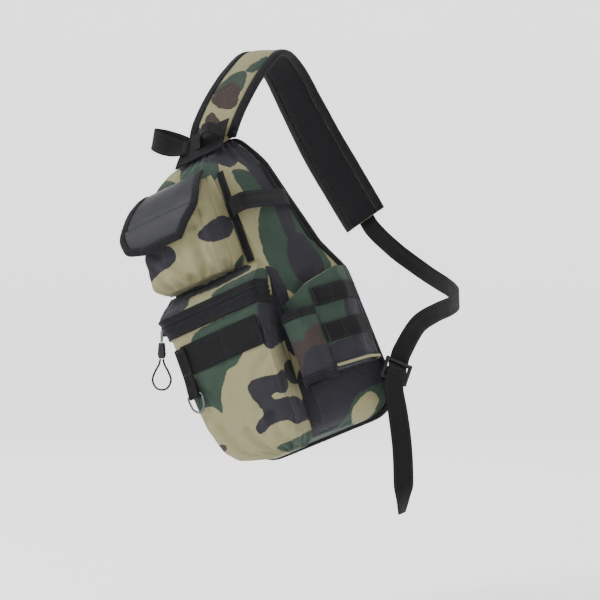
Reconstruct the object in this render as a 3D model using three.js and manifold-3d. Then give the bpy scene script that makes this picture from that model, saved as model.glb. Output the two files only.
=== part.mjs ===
// Fishing tackle sling bag, as worn: over the left shoulder, with the bag on the wearer's back.
// Millimetres, +Z up. The origin is the underside of the shoulder strap where it crosses the
// shoulder. -Y points away from the wearer's back, so the front of the bag looks along -Y.
// Inside the bag's own group x runs to the right, y back towards the wearer and z up the bag.
import * as THREE from "three";
import { mergeVertices } from "three/addons/utils/BufferGeometryUtils.js";
import Module from "manifold-3d";

const wasm = await Module();
wasm.setup();

// How the bag hangs: its long axis leans over by the roll, below and behind the shoulder
const bagRoll = 22;
const rootSide = -18;
const rootBehind = 117;
const rootBelow = 134.5;

// Cloth, clearance and cutting
const gap = 0.3;
const wall = 2;
const webbingThickness = 2;
const beyond = 20;

// Main compartment and the padded panel behind it
const bodyHeight = 432;
const bodyHalfWidth = 112;
const bodyDepth = 92;
const panelThickness = 10;
const panelInset = 2;
const pipingWidth = 6;
const pipingDepth = 5;

// Main zip in the right wall
const mainZipLow = 262;
const mainZipHigh = 385;
const mainZipWidth = 8;

// Lower front pocket and its zip
const lowerHeight = 250;
const lowerWidth = 112;
const lowerProud = 50;
const frontZipBase = 192;
const frontZipHeight = 30;
const frontZipReach = 32;

// Webbing band across the lower front pocket
const bandHeight = 40;
const bandBase = 138;
const bandLeft = -96;
const bandRight = 22;

// Upper front pocket and its flap
const upperBase = 253;
const upperHeight = 130;
const upperWidth = 112;
const upperProud = 50;
const flapThickness = 3;
const flapWidth = 126;
const flapDrop = 82;
const flapProud = 60;
const flapSeamRise = 8;
const bindingWidth = 10;
const bindingThickness = 1.4;

// Corner pocket on the right with two rows of webbing
const cornerBase = 78;
const cornerHeight = 118;
const cornerSlope = 0.38;
const cornerInnerEdge = 10;
const cornerBend = 83;
const cornerRight = 117;
const cornerBendDepth = 57;
const cornerBack = 22;
const cornerProud = 3.5;
const cornerBindingHeight = 6;
const cornerBindingBack = 3;
const rowHeight = 25;
const rowSpacing = 50;
const firstRowBase = 113;

// Rod sleeve in front of the corner pocket
const sleeveWidth = 50;
const sleeveBulge = 26;
const sleeveMiddle = 60;
const sleeveBase = 68;
const sleeveHeight = 98;
const sleeveEdge = 11;
const sleeveWall = 2;
const sleeveEdgeProud = 0.8;
const sleeveFlatShare = 0.62;
const sleeveRadii = [16, 16, 2, 2];

// Rod strap and spine webbing on the slanted corner above the pockets
const spineWidth = 10;
const spineLeft = 15.5;
const rodStrapHeight = 24;
const rodStrapBase = 315;
const rodStrapBow = 20;

// Yoke over the strap root, with its rod loop and the grab handle
const yokeThickness = 2.5;
const rodLoopHeight = 23;
const rodLoopRise = 18;
const handleWidth = 28;

// Shoulder strap, its webbing and ladder lock
const strapWidth = 58;
const strapThickness = 10;
const strapBinding = 6;
const adjusterWidth = 27;
const lockWidth = 38;
const lockThickness = 4;
const lockBar = 5;
const tailLength = 172;

// Small hanging things
const ringStrapWidth = 15;
const ringWire = 3;
const ringLength = 26;
const ringSpan = 20;
const pullCord = 3;
const cornerLoopRadius = 8;

// Materials, with the colours of the cloth, webbing, plastic and metal
const camouflage = new THREE.MeshStandardMaterial({ color: 0x6e6f58, roughness: 0.85 });
const darkCloth = new THREE.MeshStandardMaterial({ color: 0x2b2b2f, roughness: 0.85 });
const webbing = new THREE.MeshStandardMaterial({ color: 0x232327, roughness: 0.8 });
const coatedCloth = new THREE.MeshStandardMaterial({ color: 0x44444c, roughness: 0.6 });
const mesh3d = new THREE.MeshStandardMaterial({ color: 0x26262a, roughness: 0.9 });
const plastic = new THREE.MeshStandardMaterial({ color: 0x1b1b1e, roughness: 0.45 });
const metal = new THREE.MeshStandardMaterial({ color: 0x8a8a8e, roughness: 0.3, metalness: 1 });

const bag = new THREE.Group();
const slingBag = new THREE.Group();
slingBag.add(bag);

// Rows of a table with a name for each column
function table(columns, rows) {
  return rows.map((row) => Object.fromEntries(columns.map((name, index) => [name, row[index]])));
}

// A table's row at any height, between its nearest rows
function rowAt(rows, up) {
  const top = rows.findIndex((row) => row.up >= up);
  if (top === 0) return rows[0];
  if (top < 0) return rows[rows.length - 1];
  const low = rows[top - 1];
  const high = rows[top];
  const share = (up - low.up) / (high.up - low.up);
  const names = Object.keys(low);
  return Object.fromEntries(names.map((name) => [name, low[name] + share * (high[name] - low[name])]));
}

// A closed solid skinned over rings of equally many points
function loft(rings, closed = false) {
  const count = rings[0].length;
  const points = rings.flat();
  const faces = [];
  const spans = closed ? rings.length : rings.length - 1;
  for (let ring = 0; ring < spans; ring++) {
    const here = ring * count;
    const there = ((ring + 1) % rings.length) * count;
    for (let i = 0; i < count; i++) {
      const j = (i + 1) % count;
      faces.push([here + i, here + j, there + j], [here + i, there + j, there + i]);
    }
  }
  if (!closed) {
    cap(points, faces, rings[0], 0, true);
    cap(points, faces, rings[rings.length - 1], (rings.length - 1) * count, false);
  }
  const geometry = new THREE.BufferGeometry().setFromPoints(points);
  const outward = signedVolume(points, faces) > 0;
  geometry.setIndex(faces.flatMap(([a, b, c]) => (outward ? [a, b, c] : [a, c, b])));
  geometry.computeVertexNormals();
  return geometry;
}

function cap(points, faces, ring, start, turned) {
  const middle = new THREE.Vector3();
  ring.forEach((point) => middle.addScaledVector(point, 1 / ring.length));
  const hub = points.push(middle) - 1;
  ring.forEach((point, i) => {
    const j = (i + 1) % ring.length;
    faces.push(turned ? [hub, start + j, start + i] : [hub, start + i, start + j]);
  });
}

function signedVolume(points, faces) {
  const cross = new THREE.Vector3();
  return faces.reduce((sum, [a, b, c]) => {
    cross.crossVectors(points[b], points[c]);
    return sum + points[a].dot(cross) / 6;
  }, 0);
}

// Between a closed geometry and a solid that can be joined and cut
function solid(geometry) {
  const bare = new THREE.BufferGeometry();
  bare.setAttribute("position", geometry.getAttribute("position").clone());
  if (geometry.index) bare.setIndex(geometry.index.clone());
  const merged = mergeVertices(bare, 1e-4);
  const vertProperties = new Float32Array(merged.getAttribute("position").array);
  const triVerts = new Uint32Array(merged.index.array);
  return new wasm.Manifold(new wasm.Mesh({ numProp: 3, vertProperties, triVerts }));
}

function surface(body) {
  const cut = body.getMesh();
  const geometry = new THREE.BufferGeometry();
  geometry.setAttribute("position", new THREE.BufferAttribute(new Float32Array(cut.vertProperties), 3));
  geometry.setIndex(new THREE.BufferAttribute(new Uint32Array(cut.triVerts), 1));
  geometry.computeVertexNormals();
  return geometry;
}

// A box between two corners
function block(low, high) {
  const size = high.map((value, axis) => value - low[axis]);
  const box = new THREE.BoxGeometry(...size);
  box.translate(...low.map((value, axis) => value + size[axis] / 2));
  return solid(box);
}

// Corners of a convex outline, counter-clockwise, moved inwards (or outwards when negative)
function inset(corners, distance) {
  return corners.map((corner, i) => {
    const before = corners[(i + corners.length - 1) % corners.length];
    const after = corners[(i + 1) % corners.length];
    const first = inwardNormal(before, corner);
    const second = inwardNormal(corner, after);
    const reach = distance / (1 + first.dot(second));
    return corner.clone().addScaledVector(first.add(second), reach);
  });
}

function inwardNormal(from, to) {
  const along = to.clone().sub(from).normalize();
  return new THREE.Vector2(-along.y, along.x);
}

// An outline with each corner rounded by its own radius
function rounded(corners, radii, steps = 3) {
  return corners.flatMap((corner, i) => {
    const before = corners[(i + corners.length - 1) % corners.length].clone().sub(corner);
    const after = corners[(i + 1) % corners.length].clone().sub(corner);
    const half = before.angleTo(after) / 2;
    const tangent = Math.max(radii[i], 0.2) / Math.tan(half);
    const reach = Math.min(tangent, 0.45 * before.length(), 0.45 * after.length());
    const start = corner.clone().addScaledVector(before.normalize(), reach);
    const end = corner.clone().addScaledVector(after.normalize(), reach);
    return new THREE.QuadraticBezierCurve(start, corner, end).getPoints(steps);
  });
}

function ringAt(outline, up) {
  return outline.map((point) => new THREE.Vector3(point.x, point.y, up));
}

// An upright form through table rows, each an outline of rounded corners, made smaller by a wall
function form(rows, cornersOf, radii, inward = 0, lifts = [0, 0]) {
  const rings = rows.map((row, index) => {
    const corners = inset(cornersOf(row), inward);
    const lift = index === 0 ? lifts[0] : index === rows.length - 1 ? lifts[1] : 0;
    return ringAt(rounded(corners, radii.map((radius) => radius - inward)), row.up + lift);
  });
  return loft(rings);
}

// A flat strip that follows a list of points, each with the way its face looks, its width
// and its thickness
function ribbon(stations, closed = false) {
  const rings = stations.map((station, i) => {
    const before = stations[closed ? (i + stations.length - 1) % stations.length : Math.max(i - 1, 0)];
    const after = stations[closed ? (i + 1) % stations.length : Math.min(i + 1, stations.length - 1)];
    const along = after.at.clone().sub(before.at).normalize();
    const face = station.face.clone();
    face.addScaledVector(along, -face.dot(along)).normalize();
    const side = new THREE.Vector3().crossVectors(along, face).multiplyScalar(station.width / 2);
    face.multiplyScalar(station.thick / 2);
    return [[-1, -1], [1, -1], [1, 1], [-1, 1]].map(([across, out]) =>
      station.at.clone().addScaledVector(side, across).addScaledVector(face, out));
  });
  return loft(rings, closed);
}

// Stations on smooth curves through rows of places and facing directions
function smoothStations(rows, width, thick, steps) {
  const places = new THREE.CatmullRomCurve3(rows.map((row) => new THREE.Vector3(row.x, row.y, row.z)));
  const faces = new THREE.CatmullRomCurve3(rows.map((row) => new THREE.Vector3(row.fx, row.fy, row.fz)));
  return Array.from({ length: steps + 1 }, (unused, i) => ({
    at: places.getPoint(i / steps),
    face: faces.getPoint(i / steps).normalize(),
    width,
    thick,
  }));
}

// A strip of cloth standing on a plan outline between two heights
function standingStrip(path, low, high, lift, thick) {
  const rings = path.map((point, i) => {
    const before = path[Math.max(i - 1, 0)];
    const after = path[Math.min(i + 1, path.length - 1)];
    const out = inwardNormal(before, after).negate();
    const inner = point.clone().addScaledVector(out, lift);
    const outer = point.clone().addScaledVector(out, lift + thick);
    return [
      new THREE.Vector3(inner.x, inner.y, low),
      new THREE.Vector3(outer.x, outer.y, low),
      new THREE.Vector3(outer.x, outer.y, high),
      new THREE.Vector3(inner.x, inner.y, high),
    ];
  });
  return loft(rings);
}

// A tube along a curve, as an extruded round section
function tube(curve, diameter, steps, sides = 8) {
  const section = new THREE.Shape();
  section.absarc(0, 0, diameter / 2, 0, 2 * Math.PI, false);
  const options = { extrudePath: curve, steps, curveSegments: sides, bevelEnabled: false };
  return new THREE.ExtrudeGeometry(section, options);
}

// A closed round wire along a closed curve
function closedWire(curve, diameter, steps, sides = 6) {
  const frames = curve.computeFrenetFrames(steps, true);
  const rings = Array.from({ length: steps }, (unused, i) => {
    const at = curve.getPointAt(i / steps);
    return Array.from({ length: sides }, (blank, k) => {
      const turn = (2 * Math.PI * k) / sides;
      return at.clone()
        .addScaledVector(frames.normals[i], (Math.cos(turn) * diameter) / 2)
        .addScaledVector(frames.binormals[i], (Math.sin(turn) * diameter) / 2);
    });
  });
  return loft(rings, true);
}

function place(name, geometry, material, group = bag) {
  const piece = new THREE.Mesh(geometry, material);
  piece.name = name;
  group.add(piece);
  return piece;
}

// Sections of the main compartment from its bottom to its top, as shares of its sizes.
// slantIn is where the front ends and the slanted right corner begins, slantBack where it ends.
const bodyRows = table(
  ["up", "left", "right", "front", "slantIn", "slantBack"],
  [
    [0.023, 0.7, 0.71, 0.7, 0.25, 0.15],
    [0.037, 0.86, 0.87, 0.89, 0.3, 0.16],
    [0.07, 0.95, 0.96, 0.98, 0.34, 0.17],
    [0.14, 0.98, 0.99, 1, 0.35, 0.17],
    [0.48, 1, 0.955, 1, 0.35, 0.17],
    [0.59, 0.99, 0.75, 1, 0.3, 0.28],
    [0.79, 0.965, 0.55, 1, 0.21, 0.28],
    [0.885, 0.91, 0.46, 0.98, 0.16, 0.28],
    [0.925, 0.82, 0.39, 0.88, 0.08, 0.28],
    [0.96, 0.68, 0.31, 0.72, 0.03, 0.26],
    [0.985, 0.5, 0.25, 0.54, 0.02, 0.22],
    [1, 0.38, 0.2, 0.43, 0.02, 0.2],
  ],
).map((row) => ({
  up: row.up * bodyHeight,
  left: row.left * bodyHalfWidth,
  right: row.right * bodyHalfWidth,
  front: row.front * bodyDepth,
  slantIn: row.slantIn * bodyHalfWidth,
  slantBack: row.slantBack * bodyDepth,
}));

const bodyCorner = { frontLeft: 22, slant: 14, back: 5 };

function bodyCorners(row) {
  return [
    new THREE.Vector2(-row.left, -row.front),
    new THREE.Vector2(row.slantIn, -row.front),
    new THREE.Vector2(row.right, -row.slantBack),
    new THREE.Vector2(row.right, -panelThickness),
    new THREE.Vector2(-row.left, -panelThickness),
  ];
}

// The zip is a slice of the same wall, so it follows it and leaves only the clearance
function mainCompartment() {
  const radii = [bodyCorner.frontLeft, bodyCorner.slant, bodyCorner.slant, bodyCorner.back, bodyCorner.back];
  const outside = solid(form(bodyRows, bodyCorners, radii));
  const inside = solid(form(bodyRows, bodyCorners, radii, wall, [wall, -wall]));
  const shell = outside.subtract(inside);
  const middle = -(panelThickness + rowAt(bodyRows, mainZipLow).slantBack) / 2;
  const slot = (spare) => block(
    [0, middle - mainZipWidth / 2 + spare, mainZipLow + spare],
    [bodyHalfWidth + beyond, middle + mainZipWidth / 2 - spare, mainZipHigh - spare],
  );
  place("main_compartment", surface(shell.subtract(slot(0))), camouflage);
  place("main_zip", surface(shell.intersect(slot(gap))), webbing);
}

// The body's edge seen from the front, from its bottom up the right side and down the left
function bodyEdge(outward) {
  const right = bodyRows.map((row) => new THREE.Vector2(row.right, row.up));
  const left = bodyRows.map((row) => new THREE.Vector2(-row.left, row.up)).reverse();
  return inset([...right, ...left], -outward);
}

function backPanel() {
  const outline = new THREE.Shape(bodyEdge(-panelInset));
  const options = { depth: panelThickness - gap, bevelEnabled: false };
  const panel = new THREE.ExtrudeGeometry(outline, options);
  panel.rotateX(Math.PI / 2);
  place("back_panel", panel, mesh3d);
}

// Binding sewn round the seam between the compartment and the back panel
function edgePiping() {
  const inner = bodyEdge(gap);
  const outer = bodyEdge(gap + pipingDepth);
  const near = -panelThickness + pipingWidth / 2;
  const far = near - pipingWidth;
  const rings = inner.map((point, i) => [
    new THREE.Vector3(point.x, near, point.y),
    new THREE.Vector3(point.x, far, point.y),
    new THREE.Vector3(outer[i].x, far, outer[i].y),
    new THREE.Vector3(outer[i].x, near, outer[i].y),
  ]);
  place("edge_piping", loft(rings, true), webbing);
}

// Sections of the lower front pocket, as shares of its height, width and how far it stands proud
const lowerRows = table(
  ["up", "left", "right", "proud"],
  [
    [0, 0.39, 0.07, 0.52],
    [0.012, 0.52, 0.13, 0.76],
    [0.036, 0.68, 0.17, 0.9],
    [0.104, 0.84, 0.19, 0.98],
    [0.26, 0.94, 0.21, 1],
    [0.44, 0.975, 0.23, 1],
    [0.75, 1, 0.27, 1],
    [0.9, 1.09, 0.34, 0.96],
    [0.95, 1.05, 0.33, 0.55],
    [1, 0.97, 0.3, 0.12],
  ],
).map((row) => ({
  up: row.up * lowerHeight,
  left: row.left * lowerWidth,
  right: row.right * lowerWidth,
  proud: row.proud * lowerProud,
}));

function proudCorners(row) {
  const seat = -bodyDepth - gap;
  const shoulder = row.shoulder ?? row.right;
  return [
    new THREE.Vector2(-row.left, seat - row.proud),
    new THREE.Vector2(shoulder, seat - row.proud),
    new THREE.Vector2(row.right, seat),
    new THREE.Vector2(-row.left, seat),
  ];
}

const lowerRadii = [18, 9, 2, 2];

function lowerFrontPocket() {
  const outside = solid(form(lowerRows, proudCorners, lowerRadii));
  const inside = solid(form(lowerRows, proudCorners, lowerRadii, wall, [wall, -wall]));
  const shell = outside.subtract(inside);
  const front = -bodyDepth - lowerProud;
  const slot = (spare) => block(
    [-lowerWidth - beyond, front - beyond, frontZipBase + spare],
    [lowerWidth, front + frontZipReach - spare, frontZipBase + frontZipHeight - spare],
  );
  place("front_pocket", surface(shell.subtract(slot(0))), camouflage);
  place("front_pocket_zip", surface(shell.intersect(slot(gap))), webbing);
}

function webbingBand() {
  const front = -bodyDepth - gap - lowerProud;
  const path = [new THREE.Vector2(bandLeft, front), new THREE.Vector2(bandRight, front)];
  const strip = standingStrip(path, bandBase, bandBase + bandHeight, gap, webbingThickness);
  place("front_webbing_band", strip, webbing);
}

// Sections of the upper front pocket, with the front's right end as shoulder
const upperRows = table(
  ["up", "left", "right", "shoulder", "proud"],
  [
    [0, 0.93, 0.07, -0.1, 0.66],
    [0.07, 1, 0.12, -0.02, 0.96],
    [0.25, 0.965, 0.125, -0.01, 1],
    [0.46, 0.94, 0.125, -0.01, 1],
    [0.7, 0.92, 0.125, -0.03, 0.86],
    [0.9, 0.89, 0.11, -0.05, 0.54],
    [1, 0.87, 0.1, -0.06, 0.24],
  ],
).map((row) => ({
  up: upperBase + row.up * upperHeight,
  left: row.left * upperWidth,
  right: row.right * upperWidth,
  shoulder: row.shoulder * upperWidth,
  proud: row.proud * upperProud,
}));

const upperRadii = [16, 14, 2, 2];

function upperFrontPocket() {
  const outside = solid(form(upperRows, proudCorners, upperRadii));
  const inside = solid(form(upperRows, proudCorners, upperRadii, wall, [wall, beyond]));
  place("upper_pocket", surface(outside.subtract(inside)), camouflage);
}

// Rows of the flap from its seam on the body over the pocket's top and down its front.
// proud and drop place the row; left and right are its ends, in shares of the flap's width.
const flapRows = table(
  ["proud", "drop", "left", "right"],
  [
    [0.02, 0, 0.77, 0],
    [0.27, 0.085, 0.82, 0.01],
    [0.56, 0.24, 0.88, 0.025],
    [0.79, 0.43, 0.93, 0.03],
    [0.94, 0.62, 0.975, -0.01],
    [1, 0.8, 0.96, -0.14],
    [1.005, 0.91, 0.92, -0.215],
    [1, 1, 0.75, -0.28],
  ],
).map((row) => ({
  out: -bodyDepth - gap - row.proud * flapProud,
  up: upperBase + upperHeight + flapSeamRise - row.drop * flapDrop,
  left: -row.left * flapWidth,
  right: row.right * flapWidth,
}));
flapRows[0].out = -rowAt(bodyRows, flapRows[0].up).front - 2 * gap;

// The way the flap's face looks at one of its rows
function flapFace(index) {
  const before = flapRows[Math.max(index - 1, 0)];
  const after = flapRows[Math.min(index + 1, flapRows.length - 1)];
  return new THREE.Vector3(0, after.up - before.up, before.out - after.out).normalize();
}

function flapPoint(index, side, lift) {
  const row = flapRows[index];
  return new THREE.Vector3(side, row.out, row.up).addScaledVector(flapFace(index), lift);
}

function pocketFlap() {
  const rings = flapRows.map((row, i) => [
    flapPoint(i, row.left, 0),
    flapPoint(i, row.right, 0),
    flapPoint(i, row.right, flapThickness),
    flapPoint(i, row.left, flapThickness),
  ]);
  place("pocket_flap", loft(rings), coatedCloth);
}

// Binding on the flap's outer face, down its left edge, along the bottom and up the right edge
function flapBinding() {
  const low = flapThickness + gap;
  const high = low + bindingThickness;
  const last = flapRows.length - 1;
  const edge = (i, side, inwards) => [
    flapPoint(i, side, low),
    flapPoint(i, side, high),
    flapPoint(i, side + inwards, high),
    flapPoint(i, side + inwards, low),
  ];
  const left = flapRows.slice(0, last).map((row, i) => edge(i, row.left, bindingWidth));
  const right = flapRows.slice(0, last).map((row, i) => edge(i, row.right, -bindingWidth)).reverse();
  const drop = flapRows[last - 1].up - flapRows[last].up;
  const bottom = [flapRows[last].left, flapRows[last].right].map((side) => [
    flapPoint(last, side, low),
    flapPoint(last, side, high),
    flapPoint(last - 1, side, high).setZ(flapRows[last].up + Math.max(bindingWidth, drop)),
    flapPoint(last - 1, side, low).setZ(flapRows[last].up + Math.max(bindingWidth, drop)),
  ]);
  place("flap_binding", loft([...left, ...bottom, ...right]), webbing);
}

// Plan outline of the corner pocket, which stands in front of the body's slanted corner
function cornerCorners() {
  const seat = -bodyDepth - gap;
  const low = rowAt(bodyRows, cornerBase);
  const slant = new THREE.Vector2(low.right - low.slantIn, low.front - low.slantBack);
  const clear = 1.1 * gap * slant.length() / slant.x;
  const start = low.slantIn + cornerInnerEdge;
  return [
    new THREE.Vector2(start, seat - cornerProud),
    new THREE.Vector2(cornerBend, seat - cornerProud),
    new THREE.Vector2(cornerRight, -cornerBendDepth),
    new THREE.Vector2(cornerRight, -cornerBack),
    new THREE.Vector2(low.right, -low.slantBack - clear),
    new THREE.Vector2(low.slantIn, -low.front - clear),
  ];
}

const cornerRadii = [2, 14, 16, 2, 1, 1];

function cornerPocket() {
  const corners = cornerCorners();
  const rim = (inward, lift) => rounded(inset(corners, inward), cornerRadii.map((r) => r - inward))
    .map((p) => new THREE.Vector3(p.x, p.y, cornerBase + cornerHeight + lift + (p.x - cornerBend) * cornerSlope));
  const floor = (inward, lift) => ringAt(
    rounded(inset(corners, inward), cornerRadii.map((r) => r - inward)),
    cornerBase + lift,
  );
  const outside = solid(loft([floor(0, 0), rim(0, 0)]));
  const inside = solid(loft([floor(wall, wall), rim(wall, beyond)]));
  place("corner_pocket", surface(outside.subtract(inside)), camouflage);
}

// The part of the corner pocket's outline that the webbing and the binding follow
function cornerPath(from) {
  const outline = rounded(cornerCorners(), cornerRadii);
  const start = new THREE.Vector2(from, outline[4].y);
  const end = new THREE.Vector2(cornerRight, -cornerBack - cornerBindingBack);
  return [start, ...outline.filter((p) => p.x > from + 1 && p.y < end.y - 1), end];
}

function cornerTrim() {
  const path = cornerPath(sleeveMiddle + sleeveWidth / 2 + 5 * gap);
  for (const row of [0, 1]) {
    const base = firstRowBase + row * rowSpacing;
    const strip = standingStrip(path, base, base + rowHeight, gap, webbingThickness);
    place(`corner_webbing_${row + 1}`, strip, webbing);
  }
  const edge = standingStrip(path, cornerBase, cornerBase + cornerBindingHeight, gap, webbingThickness);
  place("corner_pocket_binding", edge, camouflage);
}

// A tube of cloth for the rod, flat at the back and open at both ends, between two black bindings
function rodSleeve() {
  const seat = cornerCorners()[0].y - gap;
  const half = sleeveWidth / 2;
  const corners = [
    new THREE.Vector2(-half * sleeveFlatShare, -sleeveBulge),
    new THREE.Vector2(half * sleeveFlatShare, -sleeveBulge),
    new THREE.Vector2(half, 0),
    new THREE.Vector2(-half, 0),
  ].map((corner) => corner.add(new THREE.Vector2(sleeveMiddle, seat)));
  const piece = (name, low, high, swell, material) => {
    const skin = (inward, spare) => loft([
      ringAt(rounded(sleeveSkin(corners, inward), sleeveRadii.map((r) => r - inward), 4), low - spare),
      ringAt(rounded(sleeveSkin(corners, inward), sleeveRadii.map((r) => r - inward), 4), high + spare),
    ]);
    const cut = solid(skin(-swell, 0)).subtract(solid(skin(sleeveWall, beyond)));
    place(name, surface(cut), material);
  };
  const low = sleeveBase + sleeveEdge;
  const high = sleeveBase + sleeveHeight - sleeveEdge;
  piece("sleeve_binding_bottom", sleeveBase, low - gap, sleeveEdgeProud, webbing);
  piece("rod_sleeve", low, high, 0, camouflage);
  piece("sleeve_binding_top", high + gap, sleeveBase + sleeveHeight, sleeveEdgeProud, webbing);
}

// The sleeve's outline grown or shrunk, with its flat back kept where it is when it grows
function sleeveSkin(corners, inward) {
  const moved = inset(corners, inward);
  const back = corners[2].y;
  return moved.map((corner) => new THREE.Vector2(corner.x, Math.min(corner.y, back)));
}

// A flat webbing down the body's front beside the upper pocket
function spineWebbing() {
  const low = lowerHeight + 4;
  const high = rowAt(bodyRows, bodyHeight * 0.79).up;
  const front = (up) => -rowAt(bodyRows, up).front - gap - webbingThickness / 2;
  const middle = spineLeft + spineWidth / 2;
  const heights = [low, high, bodyHeight * 0.885];
  const stations = heights.map((up) => ({
    at: new THREE.Vector3(middle, front(up), up),
    face: new THREE.Vector3(0, -1, 0),
    width: spineWidth,
    thick: webbingThickness,
  }));
  place("spine_webbing", ribbon(stations), webbing);
}

// The upper rod strap bows out over the slanted corner, where the rod lies
function rodStrap() {
  const body = rowAt(bodyRows, rodStrapBase);
  const foot = -body.front - gap - webbingThickness - 2 * gap;
  const path = [
    new THREE.Vector2(spineLeft, foot),
    new THREE.Vector2(spineLeft + 8, foot - 1),
    new THREE.Vector2(spineLeft + 15, foot - rodStrapBow * 0.75),
    new THREE.Vector2(spineLeft + 26, foot - rodStrapBow),
    new THREE.Vector2(spineLeft + 38, foot - rodStrapBow * 0.7),
    new THREE.Vector2(body.right + 2, -body.slantBack - 18),
    new THREE.Vector2(body.right + 1.5, -body.slantBack + 4),
  ];
  const curve = new THREE.SplineCurve(path);
  const strip = standingStrip(curve.getPoints(18), rodStrapBase, rodStrapBase + rodStrapHeight, 0, webbingThickness);
  place("rod_strap", strip, webbing);
}

// The yoke's section down the bag's middle, from the body's front up to the strap, with its ends
const yokeRows = table(
  ["depth", "above", "left", "right"],
  [
    [0.682, -14, -52, 24],
    [0.565, 2, -44, 29],
    [0.391, 17, -37, 30],
    [0.3, 27, -31, 33],
  ],
).map((row) => ({ ...row, y: -row.depth * bodyDepth, z: row.above + bodyHeight }));

function yoke() {
  const rings = yokeRows.map((row, i) => {
    const before = yokeRows[Math.max(i - 1, 0)];
    const after = yokeRows[Math.min(i + 1, yokeRows.length - 1)];
    const face = new THREE.Vector3(0, before.z - after.z, after.y - before.y).normalize();
    face.multiplyScalar(yokeThickness);
    const left = new THREE.Vector3(row.left, row.y, row.z);
    const right = new THREE.Vector3(row.right, row.y, row.z);
    return [left, right, right.clone().add(face), left.clone().add(face)];
  });
  place("yoke_panel", loft(rings), darkCloth);
}

// A raised loop of webbing on the yoke for the rod's tip
function rodLoop() {
  const [low, high] = [yokeRows[1], yokeRows[2]];
  const slope = new THREE.Vector3(0, high.y - low.y, high.z - low.z).normalize();
  const out = new THREE.Vector3(0, -slope.z, slope.y);
  const lift = yokeThickness + gap + webbingThickness / 2;
  const base = new THREE.Vector3(0, low.y, low.z).addScaledVector(slope, 4).addScaledVector(out, lift);
  const rows = table(
    ["across", "rise"],
    [[-16, 0], [-8, 0.05], [-3, 0.5], [4, 0.93], [10, 1], [16, 0.93], [23, 0.5], [27, 0.05], [30, 0]],
  );
  const path = new THREE.CatmullRomCurve3(rows.map((row) => base.clone()
    .add(new THREE.Vector3(row.across, 0, 0)).addScaledVector(out, row.rise * rodLoopRise)));
  const steps = 20;
  const stations = Array.from({ length: steps + 1 }, (unused, i) => {
    const along = path.getTangent(i / steps);
    return {
      at: path.getPoint(i / steps),
      face: new THREE.Vector3().crossVectors(slope, along),
      width: rodLoopHeight,
      thick: webbingThickness,
    };
  });
  place("rod_loop", ribbon(stations), webbing);
}

// Grab handle: out of the yoke's left edge, round a fold and back behind the yoke
function grabHandle() {
  const rows = table(
    ["x", "y", "z", "fx", "fy", "fz"],
    [
      [-30, -49.9, 441.9, 0, -0.71, 0.7],
      [-42, -53, 446, 0, -0.78, 0.62],
      [-58, -58, 458, 0.2, -0.95, 0.2],
      [-70, -55, 471, -0.35, -0.8, 0.35],
      [-75, -45, 476, -0.85, 0, 0.5],
      [-68, -34, 472, -0.5, 0.85, 0.2],
      [-54, -31, 461, 0, 1, -0.1],
      [-41, -34, 450, 0, 0.9, -0.4],
    ],
  );
  place("grab_handle", ribbon(smoothStations(rows, handleWidth, webbingThickness, 18)), webbing);
}

// Small webbing loop on the left shoulder seam
function cornerLoop() {
  const up = bodyHeight * 0.9;
  const edge = rowAt(bodyRows, up);
  const middle = new THREE.Vector3(-edge.left - gap - webbingThickness - 2, -edge.front * 0.5, up);
  const steps = 10;
  const stations = Array.from({ length: steps }, (unused, i) => {
    const turn = (2 * Math.PI * i) / steps;
    const out = new THREE.Vector3(-Math.cos(turn) * 0.9, 0, Math.sin(turn));
    return {
      at: middle.clone().add(new THREE.Vector3(-cornerLoopRadius * 0.6, 0, 2))
        .addScaledVector(out, cornerLoopRadius),
      face: out,
      width: cornerLoopRadius,
      thick: webbingThickness,
    };
  });
  place("corner_loop", ribbon(stations, true), webbing);
}

// A short folded webbing below the band's left end, with a metal ring in its fold
const ringStrapTop = bandBase + bandHeight - 3;
const ringStrapFold = 110;
const ringStrapMiddle = bandLeft + ringStrapWidth / 2 - 8;
const ringStrapThickness = 1.5;
const ringStrapBack = -bodyDepth - lowerProud - webbingThickness - 3 * gap - ringStrapThickness / 2;
const ringStrapFoldRadius = ringWire / 2 + ringStrapThickness / 2 + 3 * gap;

function ringStrap() {
  const back = ringStrapBack;
  const fold = ringStrapFoldRadius;
  const rows = table(
    ["out", "up"],
    [
      [0, ringStrapTop], [0, bandBase], [0, ringStrapFold + 2],
      [0.3 * fold, ringStrapFold - 0.7 * fold], [fold, ringStrapFold - fold],
      [1.7 * fold, ringStrapFold - 0.7 * fold], [2 * fold, ringStrapFold],
      [1.6 * fold, ringStrapFold + 8], [1.9, bandBase], [1.9, ringStrapTop],
    ],
  );
  const stations = rows.map((row, i) => {
    const before = rows[Math.max(i - 1, 0)];
    const after = rows[Math.min(i + 1, rows.length - 1)];
    return {
      at: new THREE.Vector3(ringStrapMiddle, back - row.out, row.up),
      face: new THREE.Vector3(0, -(after.up - before.up), before.out - after.out),
      width: ringStrapWidth,
      thick: ringStrapThickness,
    };
  });
  place("ring_strap", ribbon(stations), webbing);
}

function hangingRing() {
  const bar = new THREE.Vector3(ringStrapMiddle, ringStrapBack - ringStrapFoldRadius, ringStrapFold);
  const half = ringSpan / 2;
  const drop = ringLength - ringWire;
  const shape = [
    [-half, 0], [-half * 0.5, 0], [0, 0], [half * 0.5, 0], [half, 0],
    [half * 1.02, -drop * 0.35], [half * 0.8, -drop * 0.75], [0, -drop],
    [-half * 0.8, -drop * 0.75], [-half * 1.02, -drop * 0.35],
  ];
  const points = shape.map(([across, up]) => bar.clone().add(new THREE.Vector3(across, 0, up)));
  const wire = closedWire(new THREE.CatmullRomCurve3(points, true, "catmullrom", 0.4), ringWire, 26);
  place("hanging_ring", wire, metal);
}

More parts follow.
